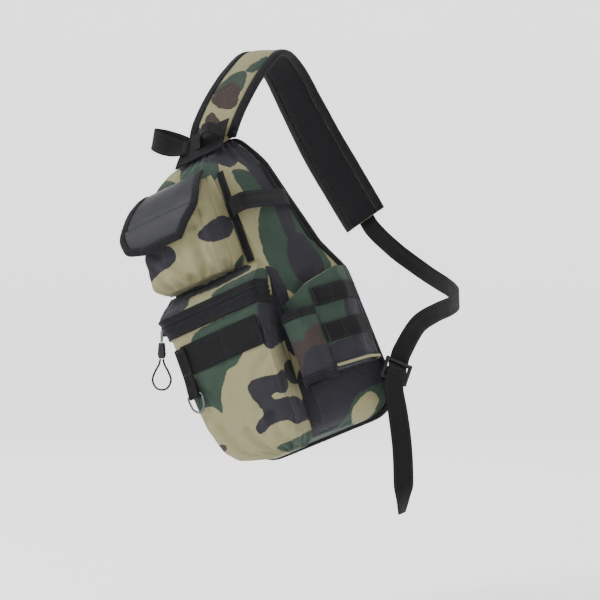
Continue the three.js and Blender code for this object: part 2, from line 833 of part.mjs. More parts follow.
// Slider at the zip's left end with its cord pull, which hangs straight down
function zipPull() {
  const row = rowAt(lowerRows, frontZipBase + frontZipHeight / 2);
  const hang = new THREE.Group();
  hang.position.set(-row.left - gap - 2, -bodyDepth - lowerProud + 22, frontZipBase + frontZipHeight / 2);
  hang.rotation.y = THREE.MathUtils.degToRad(bagRoll);
  bag.add(hang);
  const slider = block([-6, -6, -5], [-1.6, 6, 5]).add(block([-9, -1, -12], [-5, 1, 4]));
  place("zip_slider", surface(slider), metal, hang);
  place("pull_grip", gripShape(), plastic, hang);
  const points = [
    [-2.2, 0], [-4, -7], [-10, -17], [-14, -28], [-9, -38], [0, -41],
    [9, -38], [14, -28], [10, -17], [4, -7], [2.2, 0],
  ].map(([across, up]) => new THREE.Vector3(-7 + across, 0, -34 - gap + up));
  const cord = tube(new THREE.CatmullRomCurve3(points), pullCord, 26);
  place("pull_cord", cord, webbing, hang);
}

function gripShape() {
  const outline = [[-4, 0], [4, 0], [5.5, -17], [3.5, -21.5], [-3.5, -21.5], [-5.5, -17]];
  const rings = [3, -3].map((out) => outline.map(([across, up]) =>
    new THREE.Vector3(-7 + across, out, -12 - gap + up)));
  return loft(rings);
}

// Shoulder strap from the yoke over the shoulder and down the chest
const strapRows = table(
  ["x", "y", "z", "fx", "fy", "fz"],
  [
    [-4.9, 0, 12.1, 0, -1, 0],
    [-2, 11, 39, 0, -0.95, 0.3],
    [5, 33, 74, 0, -0.85, 0.5],
    [12, 71, 113, 0, -0.5, 0.85],
    [18, 117, 139.5, 0, 0, 1],
    [23, 165, 120, 0, 0.55, 0.83],
    [32, 209, 72, 0, 0.9, 0.4],
    [50, 241, 16, 0, 1, 0.1],
    [80, 257, -42, 0.05, 1, 0],
    [110, 262, -92, 0.1, 1, 0],
  ],
).map((row) => ({
  ...row,
  x: row.x + rootSide,
  y: row.y - rootBehind,
  z: row.z - rootBelow,
}));

function shoulderStrap() {
  const root = {
    at: new THREE.Vector3(rootSide, -rootBehind, -rootBelow),
    face: new THREE.Vector3(0, -1, 0),
    width: strapWidth,
    thick: strapThickness,
  };
  const stations = [root, ...smoothStations(strapRows, strapWidth, strapThickness, 30)];
  place("shoulder_strap", ribbon(stations), camouflage, slingBag);
  for (const [name, side] of [["strap_binding_left", -1], ["strap_binding_right", 1]]) {
    const rings = stations.map((station, i) => {
      const before = stations[Math.max(i - 1, 0)];
      const after = stations[Math.min(i + 1, stations.length - 1)];
      const along = after.at.clone().sub(before.at).normalize();
      const face = station.face.clone();
      face.addScaledVector(along, -face.dot(along)).normalize();
      const across = new THREE.Vector3().crossVectors(along, face).multiplyScalar(side);
      const near = strapWidth / 2 + 2 * gap;
      const half = strapThickness / 2;
      return [[near, -half], [near + strapBinding, -half * 0.5], [near + strapBinding, half * 0.5], [near, half]]
        .map(([out, up]) => station.at.clone().addScaledVector(across, out).addScaledVector(face, up));
    });
    place(name, loft(rings), webbing, slingBag);
  }
}

// Ladder lock beside the body's lower right edge, seen in its own frame: z to the incoming
// webbing, y through its thickness away from the wearer, x across the webbing
const lockCentre = new THREE.Vector3(247, -113, -437);
const lockUp = new THREE.Vector3(0.11, 0.517, 0.849).normalize();
const lockOut = new THREE.Vector3(0.55, -0.83, 0).addScaledVector(
  lockUp, -new THREE.Vector3(0.55, -0.83, 0).dot(lockUp)).normalize();
const lockSide = new THREE.Vector3().crossVectors(lockUp, lockOut);

function atLock(side, out, up) {
  return lockCentre.clone().addScaledVector(lockSide, side).addScaledVector(lockOut, out)
    .addScaledVector(lockUp, up);
}

function ladderLock() {
  const half = lockWidth / 2;
  const slotHalf = half - lockBar;
  const frame = block([-half, -lockThickness / 2, -15], [half, lockThickness / 2, 16])
    .subtract(block([-slotHalf, -beyond, -10], [slotHalf, beyond, -3]))
    .subtract(block([-slotHalf, -beyond, 2], [slotHalf, beyond, 11]));
  const lock = place("ladder_lock", surface(frame), plastic, slingBag);
  lock.quaternion.setFromRotationMatrix(new THREE.Matrix4().makeBasis(
    lockSide, lockOut.clone().negate(), lockUp));
  lock.position.copy(lockCentre);
}

// Webbing from the padded strap round the wearer's side, through the lock, with its tail
function adjusterWebbing() {
  const end = strapRows[strapRows.length - 1];
  const lift = strapThickness / 2 + gap + webbingThickness / 2 + 0.5;
  const round = table(
    ["x", "y", "z", "fx", "fy", "fz"],
    [
      [end.x - 22, end.y + lift - 3, end.z + 37, 0.07, 1, 0],
      [end.x - 6, end.y + lift - 0.5, end.z + 10, 0.1, 1, 0],
      [end.x + 10, end.y + lift - 1, end.z - 14, 0.1, 1, 0],
      [140, 145, -272, 0.2, 1, 0],
      [192, 130, -304, 0.45, 0.9, 0],
      [240, 98, -326, 0.75, 0.65, 0],
      [272, 52, -340, 0.95, 0.3, 0],
      [281, 5, -350, 1, -0.1, 0],
      [273, -35, -360, 0.9, -0.45, 0],
      [259, -66, -376, 0.8, -0.6, 0.1],
    ],
  ).map((row) => [new THREE.Vector3(row.x, row.y, row.z), new THREE.Vector3(row.fx, row.fy, row.fz)]);
  const through = [[-4.2, 34], [-4.2, 18], [-3.8, 11.5], [0, 6.5], [4, 1.5], [5, -4], [7, -12]]
    .map(([out, up]) => [atLock(0, out, up), lockOut]);
  const start = atLock(0, 8, -20);
  const hang = table(
    ["x", "y", "down", "turn"],
    [[0.5, 1, 0.06, 18], [5, 4, 0.25, 8], [9, 8, 0.5, 4], [10, 10, 0.74, 0], [9, 11, 0.88, 42], [7, 12, 1, 66]],
  ).map((row) => {
    const turn = THREE.MathUtils.degToRad(row.turn - 65);
    return [
      start.clone().add(new THREE.Vector3(row.x, row.y, -row.down * tailLength)),
      new THREE.Vector3(Math.cos(turn), Math.sin(turn), 0),
    ];
  });
  const points = [...round, ...through, ...hang];
  const places = new THREE.CatmullRomCurve3(points.map(([at]) => at));
  const faces = new THREE.CatmullRomCurve3(points.map(([at, face]) => face));
  const steps = 3 * (points.length - 1);
  const stations = Array.from({ length: steps + 1 }, (unused, i) => ({
    at: places.getPoint(i / steps),
    face: webbingFace(faces.getPoint(i / steps), places.getTangent(i / steps)),
    width: adjusterWidth,
    thick: webbingThickness,
  }));
  place("adjuster_webbing", ribbon(stations), webbing, slingBag);
}

function webbingFace(face, along) {
  return face.addScaledVector(along, -face.dot(along)).normalize();
}

// Wing of cloth from the side seam to the lock's lower bar
function lockWing() {
  bag.updateMatrixWorld(true);
  const front = -panelThickness - pipingWidth / 2 - webbingThickness;
  const onSeam = (up) => bag.localToWorld(
    new THREE.Vector3(rowAt(bodyRows, up).right + webbingThickness + 2 * gap, front, up));
  const [high, low] = [onSeam(54), onSeam(30)];
  const behind = -lockThickness / 2 - webbingThickness / 2 - gap;
  const rungs = [[behind - 1, -17], [behind - 0.4, -10], [0, -6.5]];
  const half = lockWidth / 2 - lockBar - 1;
  const thick = webbingThickness / 2;
  const ring = (left, right, face) => [
    left.clone().addScaledVector(face, -thick),
    right.clone().addScaledVector(face, -thick),
    right.clone().addScaledVector(face, thick),
    left.clone().addScaledVector(face, thick),
  ];
  const outwards = new THREE.Vector3(0.9, -0.3, 0.3).normalize();
  const rings = rungs.map(([out, up], i) => ring(
    atLock(-half, out, up), atLock(half, out, up), i < 2 ? lockOut : lockUp.clone().negate().add(lockOut).normalize()));
  place("lock_wing", loft([ring(high, low, outwards), ...rings]), webbing, slingBag);
}

// Hang the bag from the strap's root before anything is measured against it
const roll = THREE.MathUtils.degToRad(bagRoll);
bag.rotation.y = -roll;
const rootInBag = new THREE.Vector3(-3, -22, bodyHeight + 2 * gap);
bag.position.set(rootSide, -rootBehind, -rootBelow)
  .sub(rootInBag.applyAxisAngle(new THREE.Vector3(0, 1, 0), -roll));

mainCompartment();
backPanel();
edgePiping();
lowerFrontPocket();
webbingBand();
upperFrontPocket();
pocketFlap();
flapBinding();
cornerPocket();
cornerTrim();
rodSleeve();
spineWebbing();
rodStrap();
yoke();
rodLoop();
grabHandle();
cornerLoop();
ringStrap();
hangingRing();
zipPull();
shoulderStrap();
ladderLock();
adjusterWebbing();
lockWing();

export default slingBag;
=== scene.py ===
import math

import bpy
import numpy as np
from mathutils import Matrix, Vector


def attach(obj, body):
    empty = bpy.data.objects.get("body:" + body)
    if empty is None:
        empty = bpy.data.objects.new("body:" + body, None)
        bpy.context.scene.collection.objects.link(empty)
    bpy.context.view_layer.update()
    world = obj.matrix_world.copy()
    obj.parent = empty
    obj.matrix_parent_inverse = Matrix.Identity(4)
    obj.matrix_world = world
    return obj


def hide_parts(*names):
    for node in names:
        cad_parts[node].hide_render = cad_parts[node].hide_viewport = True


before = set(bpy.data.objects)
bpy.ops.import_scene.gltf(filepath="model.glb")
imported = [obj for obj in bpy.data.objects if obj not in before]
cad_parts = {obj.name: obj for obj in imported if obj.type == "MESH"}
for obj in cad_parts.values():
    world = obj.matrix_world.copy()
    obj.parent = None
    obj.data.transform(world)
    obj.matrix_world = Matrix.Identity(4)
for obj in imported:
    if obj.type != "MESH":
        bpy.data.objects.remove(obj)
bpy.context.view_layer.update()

# The bag's own millimetres: a to the right, b forward is negative, c up along the bag
ROLL = math.radians(22)
BAG_AT = np.array([146.837, -95.0, -534.475])
COS, SIN = math.cos(ROLL), math.sin(ROLL)

# The photograph's view: camera place and lens, in the row frame's millimetres
CAMERA_AT = np.array([1370.1, -2821.3, -342.9])
LOOK = np.array([-0.42262, 0.90631, 0.0])
ASIDE = np.array([0.90631, 0.42262, 0.0])
LENS = 133.33
SENSOR = 36.0
PIXELS = 600
MM_PER_METRE = 1000.0


def to_row(points):
    """Bag millimetres to the row frame's millimetres."""
    p = np.asarray(points, float)
    return np.stack([
        BAG_AT[0] + p[..., 0] * COS - p[..., 2] * SIN,
        BAG_AT[1] + p[..., 1],
        BAG_AT[2] + p[..., 0] * SIN + p[..., 2] * COS,
    ], axis=-1)


def in_picture(points):
    """Where points of the row frame lie in the photograph's view, in its pixels."""
    away = np.asarray(points, float) - CAMERA_AT
    depth = away @ LOOK
    focal = LENS / SENSOR * PIXELS
    return np.stack([PIXELS / 2 + focal * (away @ ASIDE) / depth, PIXELS / 2 - focal * away[..., 2] / depth],
        axis=-1)


# Noise and small maths


def noise(points, size, seed=0):
    """Smooth seeded gradient noise, about -1 to 1, with features of that size."""
    p = np.asarray(points, float) / size + seed * 17.31
    cell = np.floor(p).astype(np.int64)
    f = p - cell
    fade = f * f * f * (f * (f * 6 - 15) + 10)
    total = np.zeros(p.shape[:-1])
    for corner in range(8):
        step = np.array([corner & 1, (corner >> 1) & 1, (corner >> 2) & 1])
        key = cell + step
        h = (key[..., 0] * 73856093) ^ (key[..., 1] * 19349663) ^ (key[..., 2] * 83492791) ^ (seed * 7919)
        h = (h ^ (h >> 13)) * 1274126177
        angle = (h & 0xFFFF) / 65536.0 * 2 * math.pi
        tilt = ((h >> 16) & 0xFFFF) / 65536.0 * 2 - 1
        flat = np.sqrt(np.maximum(0, 1 - tilt * tilt))
        away = f - step
        dot = away[..., 0] * np.cos(angle) * flat + away[..., 1] * np.sin(angle) * flat + away[..., 2] * tilt
        weight = np.prod(np.where(step == 1, fade, 1 - fade), axis=-1)
        total += dot * weight
    return total * 1.5


def crumple(points, size, seed):
    """Soft crumpled cloth, about -1 to 1: rounded fields between narrow valleys."""
    broad = np.abs(noise(points, size, seed)) + 0.5 * np.abs(noise(points, size * 0.45, seed + 1))
    return 2.2 * broad - 0.9


def smooth(low, high, value):
    t = np.clip((np.asarray(value, float) - low) / (high - low), 0, 1)
    return t * t * (3 - 2 * t)


def bell(value, middle, width):
    return np.exp(-((np.asarray(value, float) - middle) / width) ** 2)


def spline(points, count, closed=False):
    """Points evenly spaced by length along a smooth curve through the given points."""
    p = np.asarray(points, float)
    n = len(p)
    spans = n if closed else n - 1
    fine = []
    for i in range(spans):
        p0 = p[(i - 1) % n] if closed or i > 0 else 2 * p[0] - p[1]
        p1, p2 = p[i], p[(i + 1) % n]
        p3 = p[(i + 2) % n] if closed or i < spans - 1 else 2 * p[-1] - p[-2]
        for t in np.linspace(0, 1, 24, endpoint=False):
            fine.append(0.5 * (2 * p1 + (p2 - p0) * t + (2 * p0 - 5 * p1 + 4 * p2 - p3) * t * t
                               + (3 * p1 - p0 - 3 * p2 + p3) * t ** 3))
    fine.append(p[0] if closed else p[-1])
    fine = np.array(fine)
    along = lengths_along(fine)
    stops = np.linspace(0, along[-1], count + 1 if closed else count)
    out = read_at(stops, along, fine)
    return out[:-1] if closed else out


def lengths_along(path):
    return np.concatenate([[0], np.cumsum(np.linalg.norm(np.diff(path, axis=0), axis=1))])


def unit(rows):
    return rows / np.linalg.norm(rows, axis=1, keepdims=True)


def directions(path):
    return unit(np.gradient(path, axis=0))


def square_to(ahead, facings):
    """Facings turned square to the way ahead."""
    return unit(facings - ahead * (facings * ahead).sum(1, keepdims=True))


def read_at(stops, along, rows):
    """Rows read at stops, where along says how far down the line each row lies."""
    return np.stack([np.interp(stops, along, rows[:, k]) for k in range(rows.shape[1])], axis=-1)


def stages(start, *legs):
    """Evenly stepped heights from a start; each leg gives its end and its number of steps."""
    parts = []
    for number, (end, count) in enumerate(legs):
        parts.append(np.linspace(start, end, count, endpoint=number == len(legs) - 1))
        start = end
    return np.concatenate(parts)


def arch(value, start, length):
    """Half a sine wave over a length, and nothing beyond its ends."""
    return np.sin(np.pi * np.clip((value - start) / length, 0, 1))


def from_table(rows, heights, soft=6.0):
    """Table rows (first column the height) read at many heights, with the kinks smoothed out."""
    rows = np.asarray(rows, float)
    fine = np.linspace(rows[0, 0], rows[-1, 0], 600)
    step = fine[1] - fine[0]
    reach = max(1, int(3 * soft / step))
    kernel = np.exp(-0.5 * (np.arange(-reach, reach + 1) * step / soft) ** 2)
    kernel /= kernel.sum()
    out = []
    for column in range(1, rows.shape[1]):
        values = np.interp(fine, rows[:, 0], rows[:, column])
        padded = np.concatenate([2 * values[0] - values[reach:0:-1], values,
            2 * values[-1] - values[-2:-reach - 2:-1]])
        out.append(np.interp(heights, fine, np.convolve(padded, kernel, mode="valid")))
    return np.stack(out, axis=-1)


def outline(corners, radii, sides, arc=6):
    """Rounded outlines: corners (M, k, 2) to (M, N, 2), with sides[i] points between corners i and i + 1."""
    corners = np.asarray(corners, float)
    count = corners.shape[1]
    parts, starts, ends = [], [], []
    for i in range(count):
        here = corners[:, i]
        before = corners[:, i - 1] - here
        after = corners[:, (i + 1) % count] - here
        lb, la = np.linalg.norm(before, axis=1), np.linalg.norm(after, axis=1)
        cosine = np.clip((before * after).sum(1) / (lb * la), -1, 1)
        half = np.arccos(cosine) / 2
        reach = np.minimum(np.minimum(radii[i] / np.tan(half), 0.45 * lb), 0.45 * la)
        starts.append(here + before / lb[:, None] * reach[:, None])
        ends.append(here + after / la[:, None] * reach[:, None])
    for i in range(count):
        t = np.linspace(0, 1, arc)[None, :, None]
        parts.append(starts[i][:, None] * (1 - t) ** 2 + 2 * corners[:, i][:, None] * t * (1 - t)
            + ends[i][:, None] * t * t)
        s = (np.arange(1, sides[i] + 1) / (sides[i] + 1))[None, :, None]
        parts.append(ends[i][:, None] * (1 - s) + starts[(i + 1) % count][:, None] * s)
    return np.concatenate(parts, axis=1)


ARC = 9
SEAM_IN_ARC = 4


def corner_column(sides, corner):
    """The column at which a corner's arc starts, in an outline with those sides."""
    return corner * ARC + sum(sides[:corner])


def plan_corners(*pairs):
    """Corners (M, k, 2) from k pairs of columns."""
    return np.stack([np.stack(pair, -1) for pair in pairs], axis=1)


def seam_ridge(column, at, count, high, deep):
    """A seam's ridge with a groove on each side, at one column of a closed outline."""
    away = np.abs(((column - at + count / 2) % count) - count / 2)
    return high * bell(away, 0, 0.9) - deep * bell(away, 2.4, 1.1)


def shrunk(ring, share, up):
    """A ring drawn in towards its middle, flat at one height."""
    return (ring.mean(0) + (ring - ring.mean(0)) * share) * [1, 1, 0] + [0, 0, up]


def with_ends(grid, ends, low, low_step, high, high_step):
    """A shell with both ends drawn in ring by ring; ends gives each ring's share and its step outwards."""
    lows = [shrunk(grid[0], share, low - step * low_step) for share, step in reversed(ends)]
    highs = [shrunk(grid[-1], share, high + step * high_step) for share, step in ends]
    return np.concatenate([np.array(lows), grid, np.array(highs)])


def upright(ring, heights):
    """Plan outlines (M, N, 2) stacked at heights, as a grid (M, N, 3)."""
    h = np.broadcast_to(np.asarray(heights, float)[:, None], ring.shape[:2])
    return np.concatenate([ring, h[..., None]], axis=-1)


def normals(grid, closed):
    if closed:
        du = np.roll(grid, -1, axis=1) - np.roll(grid, 1, axis=1)
    else:
        du = np.gradient(grid, axis=1)
    dv = np.gradient(grid, axis=0)
    n = np.cross(du, dv)
    length = np.linalg.norm(n, axis=-1, keepdims=True)
    return n / np.maximum(length, 1e-9)


# Materials


def new_material(name, color, roughness, metallic=0.0, specular=0.5):
    material = bpy.data.materials.new(name)
    material.use_nodes = True
    shader = material.node_tree.nodes["Principled BSDF"]
    shader.inputs["Base Color"].default_value = (*color, 1)
    shader.inputs["Roughness"].default_value = roughness
    shader.inputs["Metallic"].default_value = metallic
    shader.inputs["Specular IOR Level"].default_value = specular
    return material


def node(material, kind, **values):
    n = material.node_tree.nodes.new(kind)
    for key, value in values.items():
        if key in n.inputs.keys():
            n.inputs[key].default_value = value
        else:
            setattr(n, key, value)
    return n


def link(material, source, out, target, into):
    material.node_tree.links.new(source.outputs[out], target.inputs[into])


def join(material, pair, socket):
    """Links a (node, output) pair to a socket."""
    material.node_tree.links.new(pair[0].outputs[pair[1]], socket)


def maths(material, operation, first, second=None, clamp=False):
    """A math node; each operand is a number or a (node, output) pair."""
    n = node(material, "ShaderNodeMath", operation=operation, use_clamp=clamp)
    for slot, value in enumerate([first, second]):
        if value is None:
            continue
        if isinstance(value, tuple):
            join(material, value, n.inputs[slot])
        else:
            n.inputs[slot].default_value = value
    return (n, 0)


def srgb(r, g, b):
    """Display values of 0 to 255 as linear light."""
    shares = (v / 255 for v in (r, g, b))
    return tuple(v / 12.92 if v <= 0.04045 else ((v + 0.055) / 1.055) ** 2.4 for v in shares)


def cloth_coordinates(material):
    """u and v of the piece's cloth in millimetres, as two values."""
    uv = node(material, "ShaderNodeUVMap", uv_map="cloth")
    split = node(material, "ShaderNodeSeparateXYZ")
    link(material, uv, "UV", split, "Vector")
    return [maths(material, "MULTIPLY", (split, side), MM_PER_METRE) for side in "XY"]


def ridges(material, value, pitch, phase=0.0):
    turned = maths(material, "MULTIPLY_ADD", value, 2 * math.pi / pitch)
    turned[0].inputs[2].default_value = phase
    return maths(material, "SINE", turned)


def weave_height(material, u, v, pitch):
    """Plain weave: threads over and under each other, a pitch apart."""
    across, along = ridges(material, u, pitch), ridges(material, v, pitch)
    crossed = maths(material, "MULTIPLY", across, along)
    doubled = maths(material, "ADD", ridges(material, u, pitch / 2, 1.6),
        ridges(material, v, pitch / 2, 1.6))
    return maths(material, "ADD", crossed, maths(material, "MULTIPLY", doubled, 0.3))


def twill_height(material, u, v, pitch, length):
    """Herringbone webbing: ribs along the length with slanted floats that turn about each few millimetres."""
    folded = maths(material, "PINGPONG", u, length)
    slanted = maths(material, "ADD", v, folded)
    return maths(material, "ADD", ridges(material, slanted, pitch),
        maths(material, "MULTIPLY", ridges(material, u, pitch * 0.8), 0.5))


def add_bump(material, height, strength, distance, chained=None):
    bump = node(material, "ShaderNodeBump", Strength=strength, Distance=distance)
    join(material, height, bump.inputs["Height"])
    if chained is not None:
        link(material, chained, "Normal", bump, "Normal")
    return bump


def tint(material, color, factor, low, high):
    """color (a (node, output) pair) scaled by a factor running from low to high."""
    span = node(material, "ShaderNodeMapRange")
    join(material, factor, span.inputs["Value"])
    span.inputs["To Min"].default_value = low
    span.inputs["To Max"].default_value = high
    scaled = node(material, "ShaderNodeVectorMath", operation="SCALE")
    join(material, color, scaled.inputs[0])
    link(material, span, "Result", scaled, "Scale")
    return (scaled, "Vector")


def flat_color(material, color):
    """One color as a (node, output) pair."""
    n = node(material, "ShaderNodeRGB")
    n.outputs[0].default_value = (*color, 1)
    return (n, "Color")


def object_noise(material, scale, detail=3.0, roughness=0.55):
    """Noise in the object's own place, one per metre times scale."""
    where = node(material, "ShaderNodeTexCoord")
    n = node(material, "ShaderNodeTexNoise", Scale=scale, Detail=detail, Roughness=roughness)
    link(material, where, "Object", n, "Vector")
    return (n, "Fac")


TAN = srgb(119, 115, 86)
GREEN = srgb(40, 54, 45)
BROWN = srgb(48, 40, 38)
DARK = srgb(33, 32, 38)


def camouflage_material():
    m = new_material("camouflage_cloth", TAN, 0.82, specular=0.18)
    shader = m.node_tree.nodes["Principled BSDF"]
    shader.inputs["Sheen Weight"].default_value = 0.05
    shader.inputs["Sheen Roughness"].default_value = 0.5
    u, v = cloth_coordinates(m)
    color = flat_color(m, TAN)
    wobble = object_noise(m, 90.0, 2.0)
    ragged = object_noise(m, 900.0, 1.0)
    wander = maths(m, "MULTIPLY", maths(m, "SUBTRACT", wobble, 0.5), 5.0)
    fuzz = maths(m, "MULTIPLY", maths(m, "SUBTRACT", ragged, 0.5), 1.2)
    offset = maths(m, "ADD", wander, fuzz)
    # The near-black layer is print and also painted shade: some of its blobs stand for the shadow under the
    # upper pocket.
    for layer, paint in (("camo_green", GREEN), ("camo_brown", BROWN), ("camo_dark_and_shade", DARK)):
        field = node(m, "ShaderNodeAttribute", attribute_name=layer)
        inside = maths(m, "ADD", (field, "Fac"), offset)
        edge = maths(m, "MULTIPLY_ADD", inside, -1.6, clamp=True)
        edge[0].inputs[2].default_value = 0.5
        mix = node(m, "ShaderNodeMix", data_type="RGBA")
        m.node_tree.links.new(edge[0].outputs[0], mix.inputs[0])
        join(m, color, mix.inputs[6])
        mix.inputs[7].default_value = (*paint, 1)
        color = (mix, 2)
    threads = object_noise(m, 2600.0, 2.0)
    color = tint(m, color, threads, 0.86, 1.14)
    faded = object_noise(m, 14.0, 4.0)
    color = tint(m, color, faded, 0.9, 1.08)
    join(m, color, shader.inputs["Base Color"])
    woven = add_bump(m, weave_height(m, u, v, 1.1), 0.32, 0.0003)
    wrinkle = maths(m, "ABSOLUTE", maths(m, "SUBTRACT", object_noise(m, 30.0, 2.0, 0.5), 0.5))
    creased = add_bump(m, maths(m, "MULTIPLY", wrinkle, 3.0), 0.5, 0.004, woven)
    slub = add_bump(m, object_noise(m, 420.0, 3.0), 0.25, 0.0005, creased)
    link(m, slub, "Normal", shader, "Normal")
    return m


def webbing_material(name, color, pitch=1.3, length=7.0, strength=0.6, roughness=0.74):
    m = new_material(name, color, roughness, specular=0.12)
    shader = m.node_tree.nodes["Principled BSDF"]
    shader.inputs["Sheen Weight"].default_value = 0.03
    u, v = cloth_coordinates(m)
    height = twill_height(m, u, v, pitch, length)
    base = flat_color(m, color)
    base = tint(m, base, maths(m, "MULTIPLY_ADD", height, 0.25), 0.85, 1.35)
    base = tint(m, base, object_noise(m, 60.0, 4.0), 0.8, 1.25)
    join(m, base, shader.inputs["Base Color"])
    link(m, add_bump(m, height, strength, 0.0004), "Normal", shader, "Normal")
    return m


def coated_material():
    m = new_material("coated_cloth", srgb(29, 29, 34), 0.5, specular=0.24)
    shader = m.node_tree.nodes["Principled BSDF"]
    u, v = cloth_coordinates(m)
    base = flat_color(m, srgb(29, 29, 34))
    base = tint(m, base, object_noise(m, 22.0, 5.0, 0.6), 0.82, 1.18)
    base = tint(m, base, object_noise(m, 700.0, 2.0), 0.94, 1.06)
    join(m, base, shader.inputs["Base Color"])
    rough = node(m, "ShaderNodeMapRange")
    smear = object_noise(m, 40.0, 4.0)
    join(m, smear, rough.inputs["Value"])
    rough.inputs["To Min"].default_value = 0.48
    rough.inputs["To Max"].default_value = 0.66
    link(m, rough, "Result", shader, "Roughness")
    woven = add_bump(m, weave_height(m, u, v, 0.9), 0.18, 0.0002)
    grain = add_bump(m, object_noise(m, 1200.0, 2.0), 0.2, 0.0002, woven)
    link(m, grain, "Normal", shader, "Normal")
    return m


def mesh_material():
    """Spacer mesh: rows of small round holes, offset from row to row."""
    m = new_material("spacer_mesh", srgb(18, 18, 21), 0.85, specular=0.15)
    shader = m.node_tree.nodes["Principled BSDF"]
    u, v = cloth_coordinates(m)
    cells = maths(m, "MULTIPLY", ridges(m, u, 3.2), ridges(m, v, 3.2))
    holes = maths(m, "MULTIPLY_ADD", cells, -2.2, clamp=True)
    holes[0].inputs[2].default_value = 1.2
    base = flat_color(m, srgb(20, 20, 23))
    base = tint(m, base, holes, 0.25, 1.0)
    join(m, base, shader.inputs["Base Color"])
    link(m, add_bump(m, holes, 0.7, 0.0008), "Normal", shader, "Normal")
    return m


def plain_material(name, color, roughness, metallic=0.0, grain=900.0, strength=0.12):
    m = new_material(name, color, roughness, metallic, specular=0.25)
    shader = m.node_tree.nodes["Principled BSDF"]
    base = flat_color(m, color)
    base = tint(m, base, object_noise(m, grain / 8, 3.0), 0.85, 1.15)
    join(m, base, shader.inputs["Base Color"])
    link(m, add_bump(m, object_noise(m, grain, 2.0), strength, 0.0002), "Normal", shader, "Normal")
    return m


CAMO = camouflage_material()
WEBBING = webbing_material("black_webbing", srgb(14, 14, 16))
TAPE = webbing_material("binding_tape", srgb(17, 17, 20), pitch=0.9, length=400.0, strength=0.45,
    roughness=0.7)
ZIP_TAPE = webbing_material("zip_tape", srgb(15, 15, 18), pitch=0.8, length=2.0, strength=0.4,
    roughness=0.66)
DARK_CLOTH = webbing_material("dark_cloth", srgb(14, 14, 16), pitch=1.0, length=1.0, strength=0.4)
COATED = coated_material()
SPACER = mesh_material()
COIL = plain_material("zip_coil", srgb(16, 16, 18), 0.45)
PLASTIC = plain_material("moulded_plastic", srgb(16, 16, 18), 0.5)
METAL = plain_material("plated_metal", srgb(88, 88, 92), 0.28, 1.0, strength=0.05)
CORD = webbing_material("braided_cord", srgb(26, 26, 30), pitch=1.4, length=1.4, strength=0.8, roughness=0.6)
THREAD = plain_material("thread", srgb(40, 40, 44), 0.6)


# Meshes


def make_piece(name, points, faces, material, uvs=None, smooth_faces=True):
    """A mesh object from row-frame millimetres."""
    mesh = bpy.data.meshes.new(name)
    mesh.from_pydata((np.asarray(points).reshape(-1, 3) / MM_PER_METRE).tolist(), [], faces)
    if uvs is not None:
        layer = mesh.uv_layers.new(name="cloth")
        layer.data.foreach_set("uv", (np.asarray(uvs, np.float32) / MM_PER_METRE).ravel())
    mesh.materials.append(material)
    mesh.polygons.foreach_set("use_smooth", [smooth_faces] * len(mesh.polygons))
    mesh.update()
    thing = bpy.data.objects.new(name, mesh)
    bpy.context.scene.collection.objects.link(thing)
    return thing


def grid_piece(name, grid, material, closed=False, cap=False, row=False, wrap=False):
    """A piece from a grid of points (M, N, 3): closed joins its columns round, cap fills both end rings,
    wrap joins its rows too. Its cloth coordinates run along the surface in millimetres."""
    grid = np.asarray(grid, float)
    m, n = grid.shape[:2]
    placed = grid if row else to_row(grid)
    columns = n if closed else n - 1
    steps = m if wrap else m - 1
    i, j = np.meshgrid(np.arange(steps), np.arange(columns), indexing="ij")
    i2, j2 = (i + 1) % m, (j + 1) % n
    quads = np.stack([i * n + j, i * n + j2, i2 * n + j2, i2 * n + j], axis=-1).reshape(-1, 4)
    middle = grid[m // 2]
    around = np.concatenate([middle, middle[:1]]) if closed else middle
    u = lengths_along(around)
    lengths = np.linalg.norm(np.diff(np.concatenate([grid, grid[:1]]) if wrap else grid, axis=0),
        axis=2).mean(axis=1)
    v = np.concatenate([[0], np.cumsum(lengths)])
    corners_u = np.stack([u[j], u[j + 1], u[j + 1], u[j]], axis=-1)
    corners_v = np.stack([v[i], v[i], v[i + 1], v[i + 1]], axis=-1)
    uvs = np.stack([corners_u, corners_v], axis=-1).reshape(-1, 2)
    faces = quads.tolist()
    points = placed.reshape(-1, 3)
    if cap:
        low, high = list(range(n))[::-1], list(range((m - 1) * n, m * n))
        faces += [low, high]
        flat = grid[..., :2].reshape(-1, 2)
        uvs = np.concatenate([uvs, flat[low], flat[high]])
    return make_piece(name, points, faces, material, uvs)


